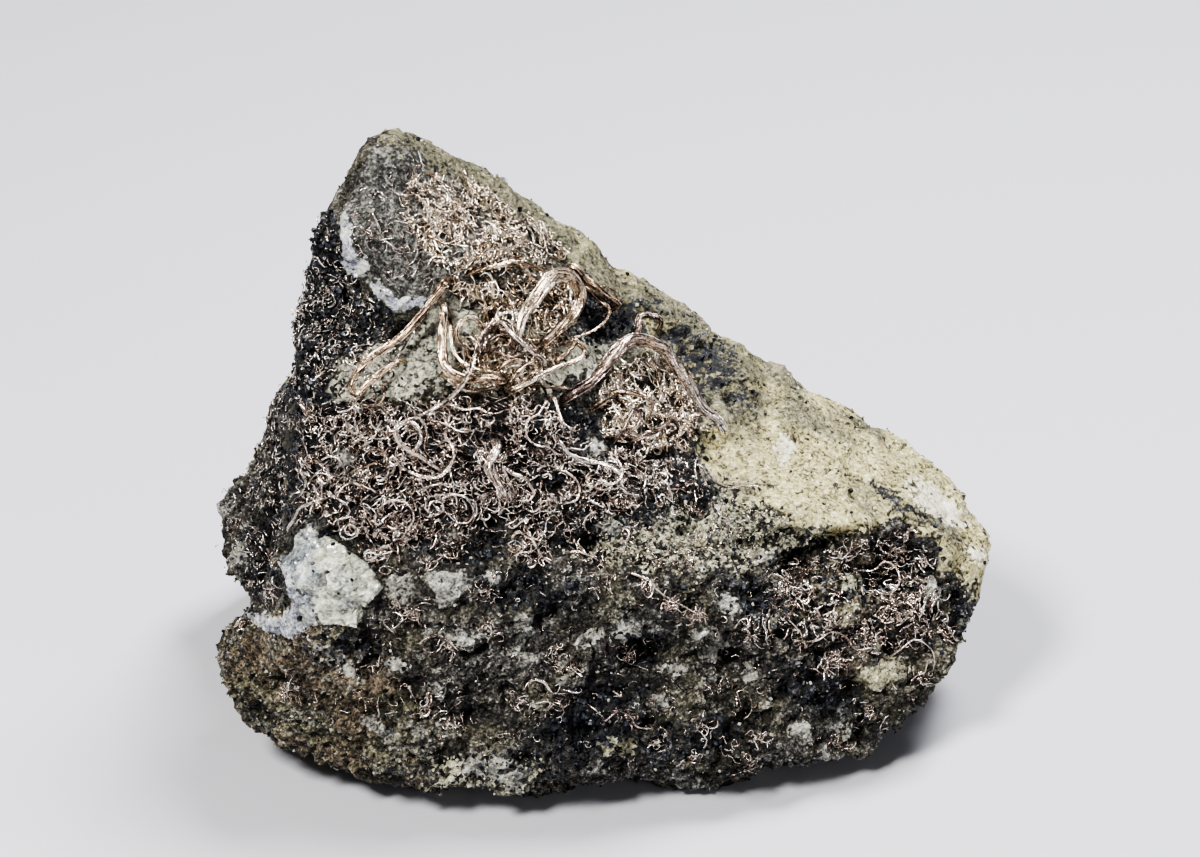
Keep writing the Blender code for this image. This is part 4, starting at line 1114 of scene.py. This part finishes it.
def build_large_wire(name, ground, rock, core, flat):
    """A large wire, a core covered in threads, in the place of its CAD node."""
    rng = random.Random(name)
    radii, points = WIRES[name]
    places, thick = laid_route(ground, points, radii)
    thick = [FULLER.get(name, 1.0) * r for r in thick]
    places, thick = fine_route(*rooted(places, thick, rock))
    steps = range(len(places))
    seed = rng.uniform(0.0, 50.0)
    tones = [along_three(i / (len(places) - 1), WIRE_TONES[name]) for i in steps]
    tones = [held(tones[i] + 0.22 * wave(0.11 * i, seed, 5.0)) for i in steps]
    tilts = [1.4 * wave(0.10 * i, 0.0, seed) for i in steps]
    inner = [CORE_SHARE * thick[i] * (1.0 + 0.2 * wave(0.3 * i, seed, 0.0)) for i in steps]
    wire = wire_mesh("ribbed_" + name, [strand(places, inner, tones, rng, tilts)], core)
    threads = [thread_on(places, thick, tones, rng, COVER_REACH) for _ in range(THREADS)]
    return joined(wire, wire_mesh("threads", threads, flat))


def build_loose_wires(piece_name, golden, ground, rock, core, flat):
    """The golden or the rosy loose wires, joined in one piece: ribbed, and each with two threads along it."""
    strands, threads = [], []
    spirals = {f"spiral_{i}": (thick, tone, SPIRAL_ARCH, spiral_route(across, up, radius, turns))
               for i, (across, up, radius, turns, thick, tone) in enumerate(SPIRALS)}
    for name, (radius, tone, arch, points) in {**LOOSE_WIRES, **spirals}.items():
        if name.startswith(GOLDEN_LOOSE) != golden:
            continue
        rng = random.Random(name)
        rises = [arch * math.sin(math.pi * (i + 0.5) / len(points)) - GAP for i in range(len(points))]
        lifted = [(*point, rise) for point, rise in zip(points, rises)]
        places, thick = laid_route(ground, lifted, (radius, radius, 0.7 * radius))
        places, thick = fine_route(*rooted(places, thick, rock))
        steps = range(len(places))
        seed = rng.uniform(0.0, 50.0)
        tones = [held(tone + 0.5 * wave(0.15 * i, seed, 2.0)) for i in steps]
        tilts = [2.5 * wave(0.14 * i, 3.0, seed) for i in steps]
        uneven = [LOOSE_SHARE * thick[i] * (1.0 + 0.35 * wave(0.35 * i, seed, 7.0)) for i in steps]
        strands.append(strand(places, uneven, tones, rng, tilts))
        threads += [thread_on(places, thick, tones, rng, LOOSE_REACH) for _ in range(2)]
    return joined(wire_mesh(piece_name, strands, core), wire_mesh("loose_threads", threads, flat))


# Where curls grow beyond the mats, on the sketch plane.
HOLLOW_FELT = [
    (15.0, -15.0), (17.0, -12.0), (22.5, -9.6), (26.5, -9.0), (29.5, -10.8), (31.0, -14.0), (30.5, -18.5),
    (25.0, -20.0), (18.0, -18.5), (13.5, -16.5),
]
LEFT_FLANK = [
    (-34.5, -14.0), (-33.0, -3.0), (-27.0, 16.5), (-24.6, 20.0), (-22.4, 14.6), (-20.0, 11.0), (-17.5, 6.0),
    (-20.0, 2.5), (-26.5, 2.0), (-28.0, -8.0), (-30.0, -15.0),
]
GREEN_FELT = [(-4.0, -4.0), (3.0, -3.5), (10.0, -5.0), (15.0, -7.5), (14.0, -12.0), (6.0, -13.0), (-3.0, -12.0)]
LOWER_FACE = [
    (-27.0, -17.0), (-10.0, -13.0), (6.0, -12.0), (16.0, -11.5), (31.0, -14.0), (31.0, -24.0), (20.0, -29.0),
    (12.0, -31.0), (-2.0, -30.0), (-14.0, -29.0), (-27.0, -26.0),
]
SLAB_FELT = [(-22.0, 14.5), (-22.5, 20.0), (-18.0, 24.5), (-12.0, 23.5), (-10.0, 17.0), (-14.0, 12.0)]
# Felts of curls: the outline they grow in, how many, then each curl's recipe: the ranges of its length,
# half-thickness and turns, how high the felt stands, the curls' lightness and its spread, what share of them is
# tarnished dark, and what share is broken into crumbs.
CURLS = {
    "crown_felt": (MATS["mat_crown"], 1250, (1.0, 2.8), (0.05, 0.12), (0.1, 1.0), 0.9, 0.95, 0.18, 0.06, 0.70),
    "nest_felt": (MATS["mat_nest"], 560, (1.6, 4.6), (0.07, 0.16), (0.3, 1.3), 1.2, 0.84, 0.24, 0.14, 0.5),
    "middle_felt": (MATS["mat_middle"], 3100, (1.0, 3.6), (0.06, 0.14), (0.1, 1.1), 1.4, 0.86, 0.20, 0.20, 0.78),
    "bow_felt": (MATS["mat_bow"], 700, (1.2, 3.8), (0.07, 0.16), (0.1, 1.0), 1.4, 1.0, 0.20, 0.04, 0.65),
    "lower_right_felt": (HOLLOW_FELT, 800, (1.0, 3.0), (0.06, 0.13), (0.1, 1.0), 1.2, 0.83, 0.18, 0.18, 0.7),
    "flank_curls": (LEFT_FLANK, 1220, (0.8, 2.2), (0.05, 0.115), (0.1, 1.2), 0.7, 0.98, 0.14, 0.2, 0.9),
    "green_curls": (GREEN_FELT, 340, (0.9, 2.6), (0.05, 0.10), (0.2, 1.2), 0.6, 0.74, 0.15, 0.2, 0.7),
    "slab_curls": (SLAB_FELT, 180, (0.8, 3.0), (0.035, 0.07), (0.1, 0.6), 0.3, 0.74, 0.15, 0.1, 0.6),
    "face_curls": (LOWER_FACE, 420, (0.8, 2.4), (0.045, 0.09), (0.1, 1.0), 0.5, 0.76, 0.12, 0.1, 0.7),
}
SPRAY_CURL = ((0.8, 3.0), (0.045, 0.10), (0.1, 1.1), 0.9, 0.80, 0.15, 0.1, 0.45)  # a recipe as in CURLS
SPRAY_FULLNESS = 1.3  # curls in a spray, against the number given for it
# Small sprays of curls on the lower face: across, up, how far they spread, how many.
SPRAYS = [
    (-17.1, -16.6, 1.2, 34), (-10.0, -14.8, 1.0, 20), (-9.7, -17.7, 0.9, 18), (-13.7, -19.4, 0.9, 10),
    (-19.8, -21.1, 0.6, 5), (-15.7, -24.5, 1.0, 14), (-13.4, -26.4, 1.2, 24), (-7.2, -24.1, 0.9, 9),
    (-3.8, -20.2, 1.0, 16), (-3.8, -24.5, 1.3, 16), (-27.8, -23.2, 1.4, 16), (-28.9, -11.3, 0.7, 16),
    (-29.1, -14.5, 0.8, 14), (-32.0, -17.7, 0.9, 14), (4.3, -14.2, 0.7, 16), (6.0, -15.6, 0.7, 18),
    (8.4, -16.8, 0.6, 12), (-2.5, -21.2, 0.8, 14), (2.3, -20.2, 0.9, 16), (9.7, -22.6, 1.0, 14),
    (2.6, -25.3, 1.0, 18), (8.8, -26.4, 1.1, 14), (13.3, -17.9, 1.3, 34), (16.7, -14.3, 1.0, 26),
    (20.6, -16.9, 0.8, 18), (23.3, -18.2, 1.1, 30), (20.6, -21.0, 1.3, 32), (24.4, -19.4, 0.8, 18),
    (24.9, -12.0, 1.5, 34), (28.2, -16.1, 1.1, 28), (28.8, -22.0, 0.8, 16), (30.8, -18.5, 0.8, 16),
    (24.1, -25.3, 0.9, 12), (13.3, -30.0, 0.9, 12), (8.2, -29.3, 0.8, 10), (14.1, -27.6, 0.8, 12),
    (21.1, -28.0, 0.9, 12), (5.1, -27.7, 0.9, 12), (-5.4, -11.5, 1.0, 18), (0.0, -13.5, 1.2, 14),
    (-20.0, -11.0, 1.3, 26), (-17.5, -9.8, 1.0, 20), (-15.4, -12.2, 0.8, 14), (-13.4, -11.2, 1.0, 20),
    (26.0, -16.6, 1.4, 34), (17.9, -19.0, 1.0, 20), (23.0, -20.2, 1.2, 18),
]
# Where the felt is thin and the black rock shows: ovals, given as the stains are.
BALD_SPOTS = [
    (-9.8, -9.4, 2.8, 2.4, 10), (-17.7, -10.6, 0.6, 1.6, 0), (-23.8, 3.2, 1.0, 0.9, 0), (-20.2, -3.8, 0.9, 0.5, 0),
    (-13.0, -9.3, 0.8, 1.0, 0), (-4.2, -4.6, 1.0, 0.7, 0), (-22.8, -3.0, 1.0, 0.8, 0), (-9.0, -1.6, 1.2, 0.7, -20),
    (-0.4, -1.6, 1.1, 1.0, 0), (0.6, -8.3, 1.3, 1.1, 0), (6.2, -4.6, 0.8, 0.6, 0), (-2.2, -7.4, 1.2, 0.6, -20),
    (-13.4, 15.4, 0.8, 0.5, 0), (3.6, 3.8, 0.7, 0.5, 0), (22.8, -15.2, 1.2, 2.1, 0), (30.2, -14.3, 1.0, 1.6, 10),
]
CURL_STEPS = 8
CRUMB_STEPS = 5
CRUMB_SIZE = (0.28, 0.62)  # a crumb's length against a whole curl's
DARKEST = 0.16  # a tarnished curl is no lighter than this
PATCH_SIZE = 1.7  # size of the felts' thick and thin patches, in millimetres
THINNEST = 0.12  # share of the curls that a felt keeps where it is thinnest
BALD_EDGE = 1.2  # width of a bald spot's edge, in millimetres


def random_in(outline, rng):
    """A point of the sketch plane inside an outline, more often where the felt grows thick."""
    xs, ys = zip(*outline)
    while True:
        across, up = rng.uniform(min(xs), max(xs)), rng.uniform(min(ys), max(ys))
        thickness = 0.75 + 1.4 * noise.noise(Vector((across, up, 3.0)) / PATCH_SIZE)
        thickness *= 1.0 - 0.85 * in_ovals(np.array([across]), np.array([up]), BALD_SPOTS, BALD_EDGE)[0]
        if rng.random() > max(THINNEST, thickness):
            continue
        within = False
        for (x0, y0), (x1, y1) in zip(outline, [*outline[1:], outline[0]]):
            if (y0 > up) != (y1 > up) and across < x0 + (up - y0) * (x1 - x0) / (y1 - y0):
                within = not within
        if within:
            return across, up


def curl_shape(rng, length, turns, steps):
    """A flat curl about the origin, then tipped out of its plane: places in millimetres, with z its height."""
    heading = rng.uniform(0.0, math.tau)
    turning = math.tau * turns * rng.choice((-1.0, 1.0))
    tighten = rng.uniform(-0.5, 1.2)
    waver = rng.uniform(-0.8, 0.8)
    spot = Vector((0.0, 0.0, 0.0))
    shape = [spot.copy()]
    for i in range(steps):
        share = (i + 0.5) / steps
        angle = heading + turning * (share + tighten * share * share) / (1.0 + max(0.0, tighten))
        angle += waver * math.sin(9.0 * share) + rng.uniform(-0.45, 0.45)
        spot += Vector((math.cos(angle), math.sin(angle), rng.uniform(-0.3, 0.3))) * (length / steps)
        shape.append(spot.copy())
    middle = sum(shape, Vector()) / len(shape)
    tip = Matrix.Rotation(rng.gauss(0.0, 0.6), 3, Vector((math.cos(heading), math.sin(heading), 0.0)))
    return [tip @ (p - middle) for p in shape]


def lay_curl(rock, spot, normal, shape, height, radius, depth):
    """A curl's shape laid over the rock at a spot, some of it buried, and none of it above the felt's depth."""
    one = normal.orthogonal().normalized()
    two = normal.cross(one)
    low = min(p.z for p in shape)
    laid = []
    for point in shape:
        over, _, _, _ = rock.find_nearest(spot + point.x * one + point.y * two)
        rise = point.z - 0.7 * low + height + radius
        laid.append(over + normal * (depth * math.tanh(rise / depth) if rise > 0.0 else rise))
    ends = [laid[0], *laid, laid[-1]]
    return [(a + 4 * b + c) / 6 for a, b, c in zip(ends, ends[1:], ends[2:])]


def one_curl(rng, rock, at, lengths, radii, turns, depth, tone, spread, dark_share, crumb_share):
    """A curl that grows at a point of the sketch plane, or None where the rock isn't met."""
    ray = (from_sketch(*at) - EYE).normalized()
    spot, normal, _, _ = rock.ray_cast(EYE, ray)
    if spot is None:
        return None
    radius = rng.uniform(*radii) * rng.choice((0.8, 1.0, 1.0, 1.3))
    height = rng.uniform(0.0, 1.0)
    length, steps = rng.uniform(*lengths), CURL_STEPS
    if rng.random() < crumb_share:
        length, steps, radius = length * rng.uniform(*CRUMB_SIZE), CRUMB_STEPS, 0.8 * radius
    shape = curl_shape(rng, length, rng.uniform(*turns) * steps / CURL_STEPS, steps)
    places = lay_curl(rock, spot, normal, shape, depth * (0.75 * height - 0.1), radius, 1.15 * depth)
    thick = [radius * (1.0 - 0.5 * (i / steps) ** 3) * rng.uniform(0.7, 1.25) for i in range(len(places))]
    # Painted shade: the lower a curl sits in the felt, the darker it is.
    own = rng.gauss(tone, spread) - 0.25 * (1.0 - height)
    if rng.random() < dark_share:
        own = rng.uniform(0.0, DARKEST)
    twist = rng.uniform(-2.5, 2.5)
    tilts = [twist * i / steps + rng.uniform(0.0, math.tau) * 0.1 for i in range(len(places))]
    return strand(places, thick, [held(own)] * len(places), rng, tilts)


def grow_curls(name, rock, flat):
    """A felt of curls in the space of a mat, or scattered on the rock."""
    rng = random.Random(name)
    outline, count, *recipe = CURLS[name]
    curls = [one_curl(rng, rock, random_in(outline, rng), *recipe) for _ in range(count)]
    return wire_mesh(name, [curl for curl in curls if curl], flat)


def grow_sprays(rock, flat):
    """The small sprays of curls on the lower face, joined in one piece."""
    rng = random.Random("sprays")
    curls = []
    for across, up, spread, count in SPRAYS:
        for _ in range(round(SPRAY_FULLNESS * count)):
            at = (rng.gauss(across, 0.55 * spread), rng.gauss(up, 0.45 * spread))
            curls.append(one_curl(rng, rock, at, *SPRAY_CURL))
    return wire_mesh("face_sprays", [curl for curl in curls if curl], flat)


# Silver from tarnished dark to bright: stops as for the minerals.
ROSY = [
    (0.0, 0.018, 0.014, 0.014), (0.14, 0.066, 0.049, 0.045), (0.28, 0.19, 0.136, 0.117), (0.42, 0.43, 0.320, 0.268),
    (0.56, 0.65, 0.515, 0.43), (0.70, 0.82, 0.685, 0.59), (0.85, 0.93, 0.825, 0.73), (1.0, 0.98, 0.92, 0.85),
]
GOLDEN = [
    (0.0, 0.025, 0.018, 0.013), (0.14, 0.088, 0.0615, 0.045), (0.28, 0.245, 0.170, 0.116),
    (0.42, 0.50, 0.368, 0.250), (0.56, 0.745, 0.587, 0.414), (0.70, 0.88, 0.717, 0.545),
    (0.85, 0.955, 0.825, 0.675), (1.0, 0.985, 0.912, 0.80),
]
GOLDEN_WIRES = (
    "hairpin_wire", "hairpin_curl", "cradle_wire", "ring_wire", "arch_wire", "straight_bundle", "golden_tail",
    "hook_wire", "nest_strand",
)
GOLDEN_FELTS = ("crown_felt", "nest_felt", "bow_felt")
GOLDEN_LOOSE = ("upper_", "bundle_", "amber_", "copper_", "orange_", "golden_", "cradle_", "crown_")


def paint_wire(name, streak_size, relief_depth, tarnish, gilding):
    """Native silver, tarnished in streaks along the wire, in spots, and in fine dark lines between its ribs."""
    made = Finish(name, Metallic=0.85)
    place = made.attribute("lengthwise", output="Vector")
    streaks = made.noise(place, streak_size, detail=3.0, roughness=0.65)
    lines = made.noise(place, 0.5 * streak_size, detail=2.0, roughness=0.5)
    clouds = made.noise(made.coordinates(), 1.1, detail=3.0)
    crinkles = made.noise(made.coordinates(), 0.26, detail=4.0, roughness=0.65)
    tone = made.attribute("tone") + (streaks - 0.5) * 1.0 + (clouds - 0.5) * 0.5 + (crinkles - 0.5) * 1.0
    shade = (tone + 0.03).clamped()
    gilt = (made.noise(made.coordinates(), 2.6, detail=4.0) - 0.5 + gilding).above(0.4, 0.6)
    colour = made.mix(gilt, made.ramp(shade, ROSY), made.ramp(shade, GOLDEN))
    for pattern, low, high, stain in ((streaks, 0.52, 0.62, (0.040, 0.031, 0.033)),
                                      (lines, 0.55, 0.60, (0.026, 0.021, 0.022)),
                                      (crinkles, 0.55, 0.61, (0.032, 0.026, 0.024))):
        colour = made.mix((1 - pattern).above(low, high) * tarnish, colour, stain)
    rough = clouds * 0.26 + 0.12
    relief = made.bump(streaks * 0.35 + lines * 0.25 + crinkles * 0.4, relief_depth)
    return made.paint(Base_Color=colour, Roughness=rough, Normal=relief)


# Mineral grains.

CUBE_SHARE = 0.8  # width of a grain's cube, against the grain's size
PROUD = 0.15  # how far a grain's middle stands out of the skin, against its size


def grain_shape():
    """(corners, faces) of one grain, a cube for a size of 1, as arrays."""
    bpy.ops.object.select_all(action="DESELECT")
    bpy.ops.mesh.primitive_cube_add(size=CUBE_SHARE)
    grain = bpy.context.object
    bpy.ops.object.mode_set(mode="EDIT")
    bpy.ops.mesh.quads_convert_to_tris()
    bpy.ops.object.mode_set(mode="OBJECT")
    corners = np.array([v.co for v in grain.data.vertices])
    faces = np.array([face.vertices[:] for face in grain.data.polygons])
    bpy.data.objects.remove(grain)
    return corners, faces


def scatter_grains(name, block, count, weights, sizes, squash):
    """Grains set in the block's skin, turned at random and joined in one mesh; "tone" tells them apart."""
    rng = np.random.default_rng(len(name) + count)
    places, normals = vertex_arrays(block.data)
    chosen = rng.choice(len(places), count, replace=False, p=weights / weights.sum())
    corners, faces = grain_shape()
    turns = rng.normal(size=(count, 4))
    turns /= np.linalg.norm(turns, axis=1)[:, None]
    w, x, y, z = turns.T
    turn = np.array([[1 - 2 * (y * y + z * z), 2 * (x * y - z * w), 2 * (x * z + y * w)],
                     [2 * (x * y + z * w), 1 - 2 * (x * x + z * z), 2 * (y * z - x * w)],
                     [2 * (x * z - y * w), 2 * (y * z + x * w), 1 - 2 * (x * x + y * y)]]).transpose(2, 0, 1)
    size = rng.uniform(*sizes, count) * rng.uniform(0.6, 1.0, count)
    stretch = rng.uniform(squash, 1.0, (count, 1, 3)) * size[:, None, None]
    uneven = corners[None] * rng.uniform(0.75, 1.15, (count, len(corners), 1))
    turned = np.einsum("nij,nkj->nki", turn, uneven * stretch)
    made = places[chosen, None] + turned + (PROUD * size[:, None] * normals[chosen])[:, None]
    made[:, :, 2] = np.maximum(made[:, :, 2], 0.0)
    mesh = bpy.data.meshes.new(name)
    sides = faces[None] + (len(corners) * np.arange(count))[:, None, None]
    mesh.from_pydata((made.reshape(-1, 3) * MM).tolist(), [], sides.reshape(-1, 3).tolist())
    grains = new_object(name, mesh)
    set_attribute(mesh, "tone", np.repeat(rng.random(count), len(corners)))
    return grains


def kind_amounts(block, *names):
    """The sum of some mineral kinds at each vertex of the block's skin."""
    return sum(read_all(block.data.attributes[name].data, "value") for name in names)


def paint_grains(name, stops, roughness, **constants):
    made = Finish(name, **constants)
    place = made.coordinates()
    tone = made.attribute("tone")
    speckle = made.noise(place, 0.25, detail=4.0, roughness=0.7)
    colour = made.ramp(tone * 0.8 + (speckle - 0.5) * 0.7 + 0.1, stops)
    rough = tone * 0.2 + speckle * 0.3 + roughness
    return made.paint(Base_Color=colour, Roughness=rough, Normal=made.bump(speckle, 0.06))


noise.seed_set(NOISE_SEED)
floor = set_stage()
set_lights()
floor.data.materials.append(Finish("pale floor", Base_Color=(0.46, 0.46, 0.49, 1.0), Roughness=0.7).material)

block = build_block()
finish_piece(block, paint_block(), "veined_rock", "matrix_rock")

rock = ground_of("matrix_rock")
ground = ground_of("matrix_rock", *MATS)
core = ribbed_section(5, 0.32, 0.70)
flat = wire_section([(1.0, 0.0), (0.0, 0.5), (-1.0, 0.0), (0.0, -0.5)])
rosy_wire = paint_wire("rosy ribbed silver", 0.16, 0.10, 0.85, 0.32)
golden_wire = paint_wire("golden ribbed silver", 0.16, 0.10, 0.85, 0.72)
rosy_felt = paint_wire("rosy fine silver", 0.12, 0.04, 0.6, 0.32)
golden_felt = paint_wire("golden fine silver", 0.12, 0.04, 0.45, 0.72)
for name in WIRES:
    metal = golden_wire if name in GOLDEN_WIRES else rosy_wire
    finish_piece(build_large_wire(name, ground, rock, core, flat), metal, "silver_wire", name)
for name, golden, metal in (("loose_wires", False, rosy_wire), ("golden_loose_wires", True, golden_wire)):
    finish_piece(build_loose_wires(name, golden, ground, rock, core, flat), metal, "silver_wire")
for name in CURLS:
    mat = "mat_" + name.removesuffix("_felt")
    replaced = [mat] if mat in MATS else []
    metal = golden_felt if name in GOLDEN_FELTS else rosy_felt
    finish_piece(grow_curls(name, rock, flat), metal, "silver_felt", *replaced)
finish_piece(grow_sprays(rock, flat), rosy_felt, "silver_felt")
bpy.data.objects.remove(core)
bpy.data.objects.remove(flat)

green, cream = kind_amounts(block, "green"), kind_amounts(block, "cream")
dark = kind_amounts(block, "black") + 0.12 * green + 0.03 * cream + 0.01
dark *= 0.15 + 0.85 * kind_amounts(block, "wired side")
pale = green + 0.12 * cream + 0.12 * kind_amounts(block, "black", "clast") + 0.03
covered = kind_amounts(block, "black", "green", "cream", "slab", "quartz", "lilac", "window")
plain = np.clip(1.0 - covered, 0.0, 1.0)
sulphide = paint_grains("black sulphide", [
    (0.0, 0.004, 0.004, 0.006), (0.6, 0.016, 0.018, 0.025), (1.0, 0.10, 0.11, 0.135)], 0.12, Metallic=0.5)
chalky = paint_grains("chalky grains", [
    (0.1, 0.08, 0.085, 0.08), (0.4, 0.27, 0.26, 0.20), (0.9, 0.54, 0.52, 0.43)], 0.5)
earthy = paint_grains("earthy grains", [
    (0.0, 0.004, 0.004, 0.004), (0.42, 0.024, 0.022, 0.020), (0.68, 0.090, 0.085, 0.074),
    (0.86, 0.24, 0.236, 0.215), (1.0, 0.46, 0.46, 0.44)], 0.35)
# Grains: how many, where they are likely, their sizes in millimetres, how flat they may be, and their finish.
for name, finish, recipe in (
        ("black_grains", sulphide, (4900, dark, (0.18, 0.68), 0.5)),
        ("pale_grains", chalky, (3600, pale, (0.12, 0.44), 0.35)),
        ("earth_grains", earthy, (4700, plain, (0.12, 0.46), 0.35))):
    finish_piece(scatter_grains(name, block, *recipe), finish, "veined_rock")
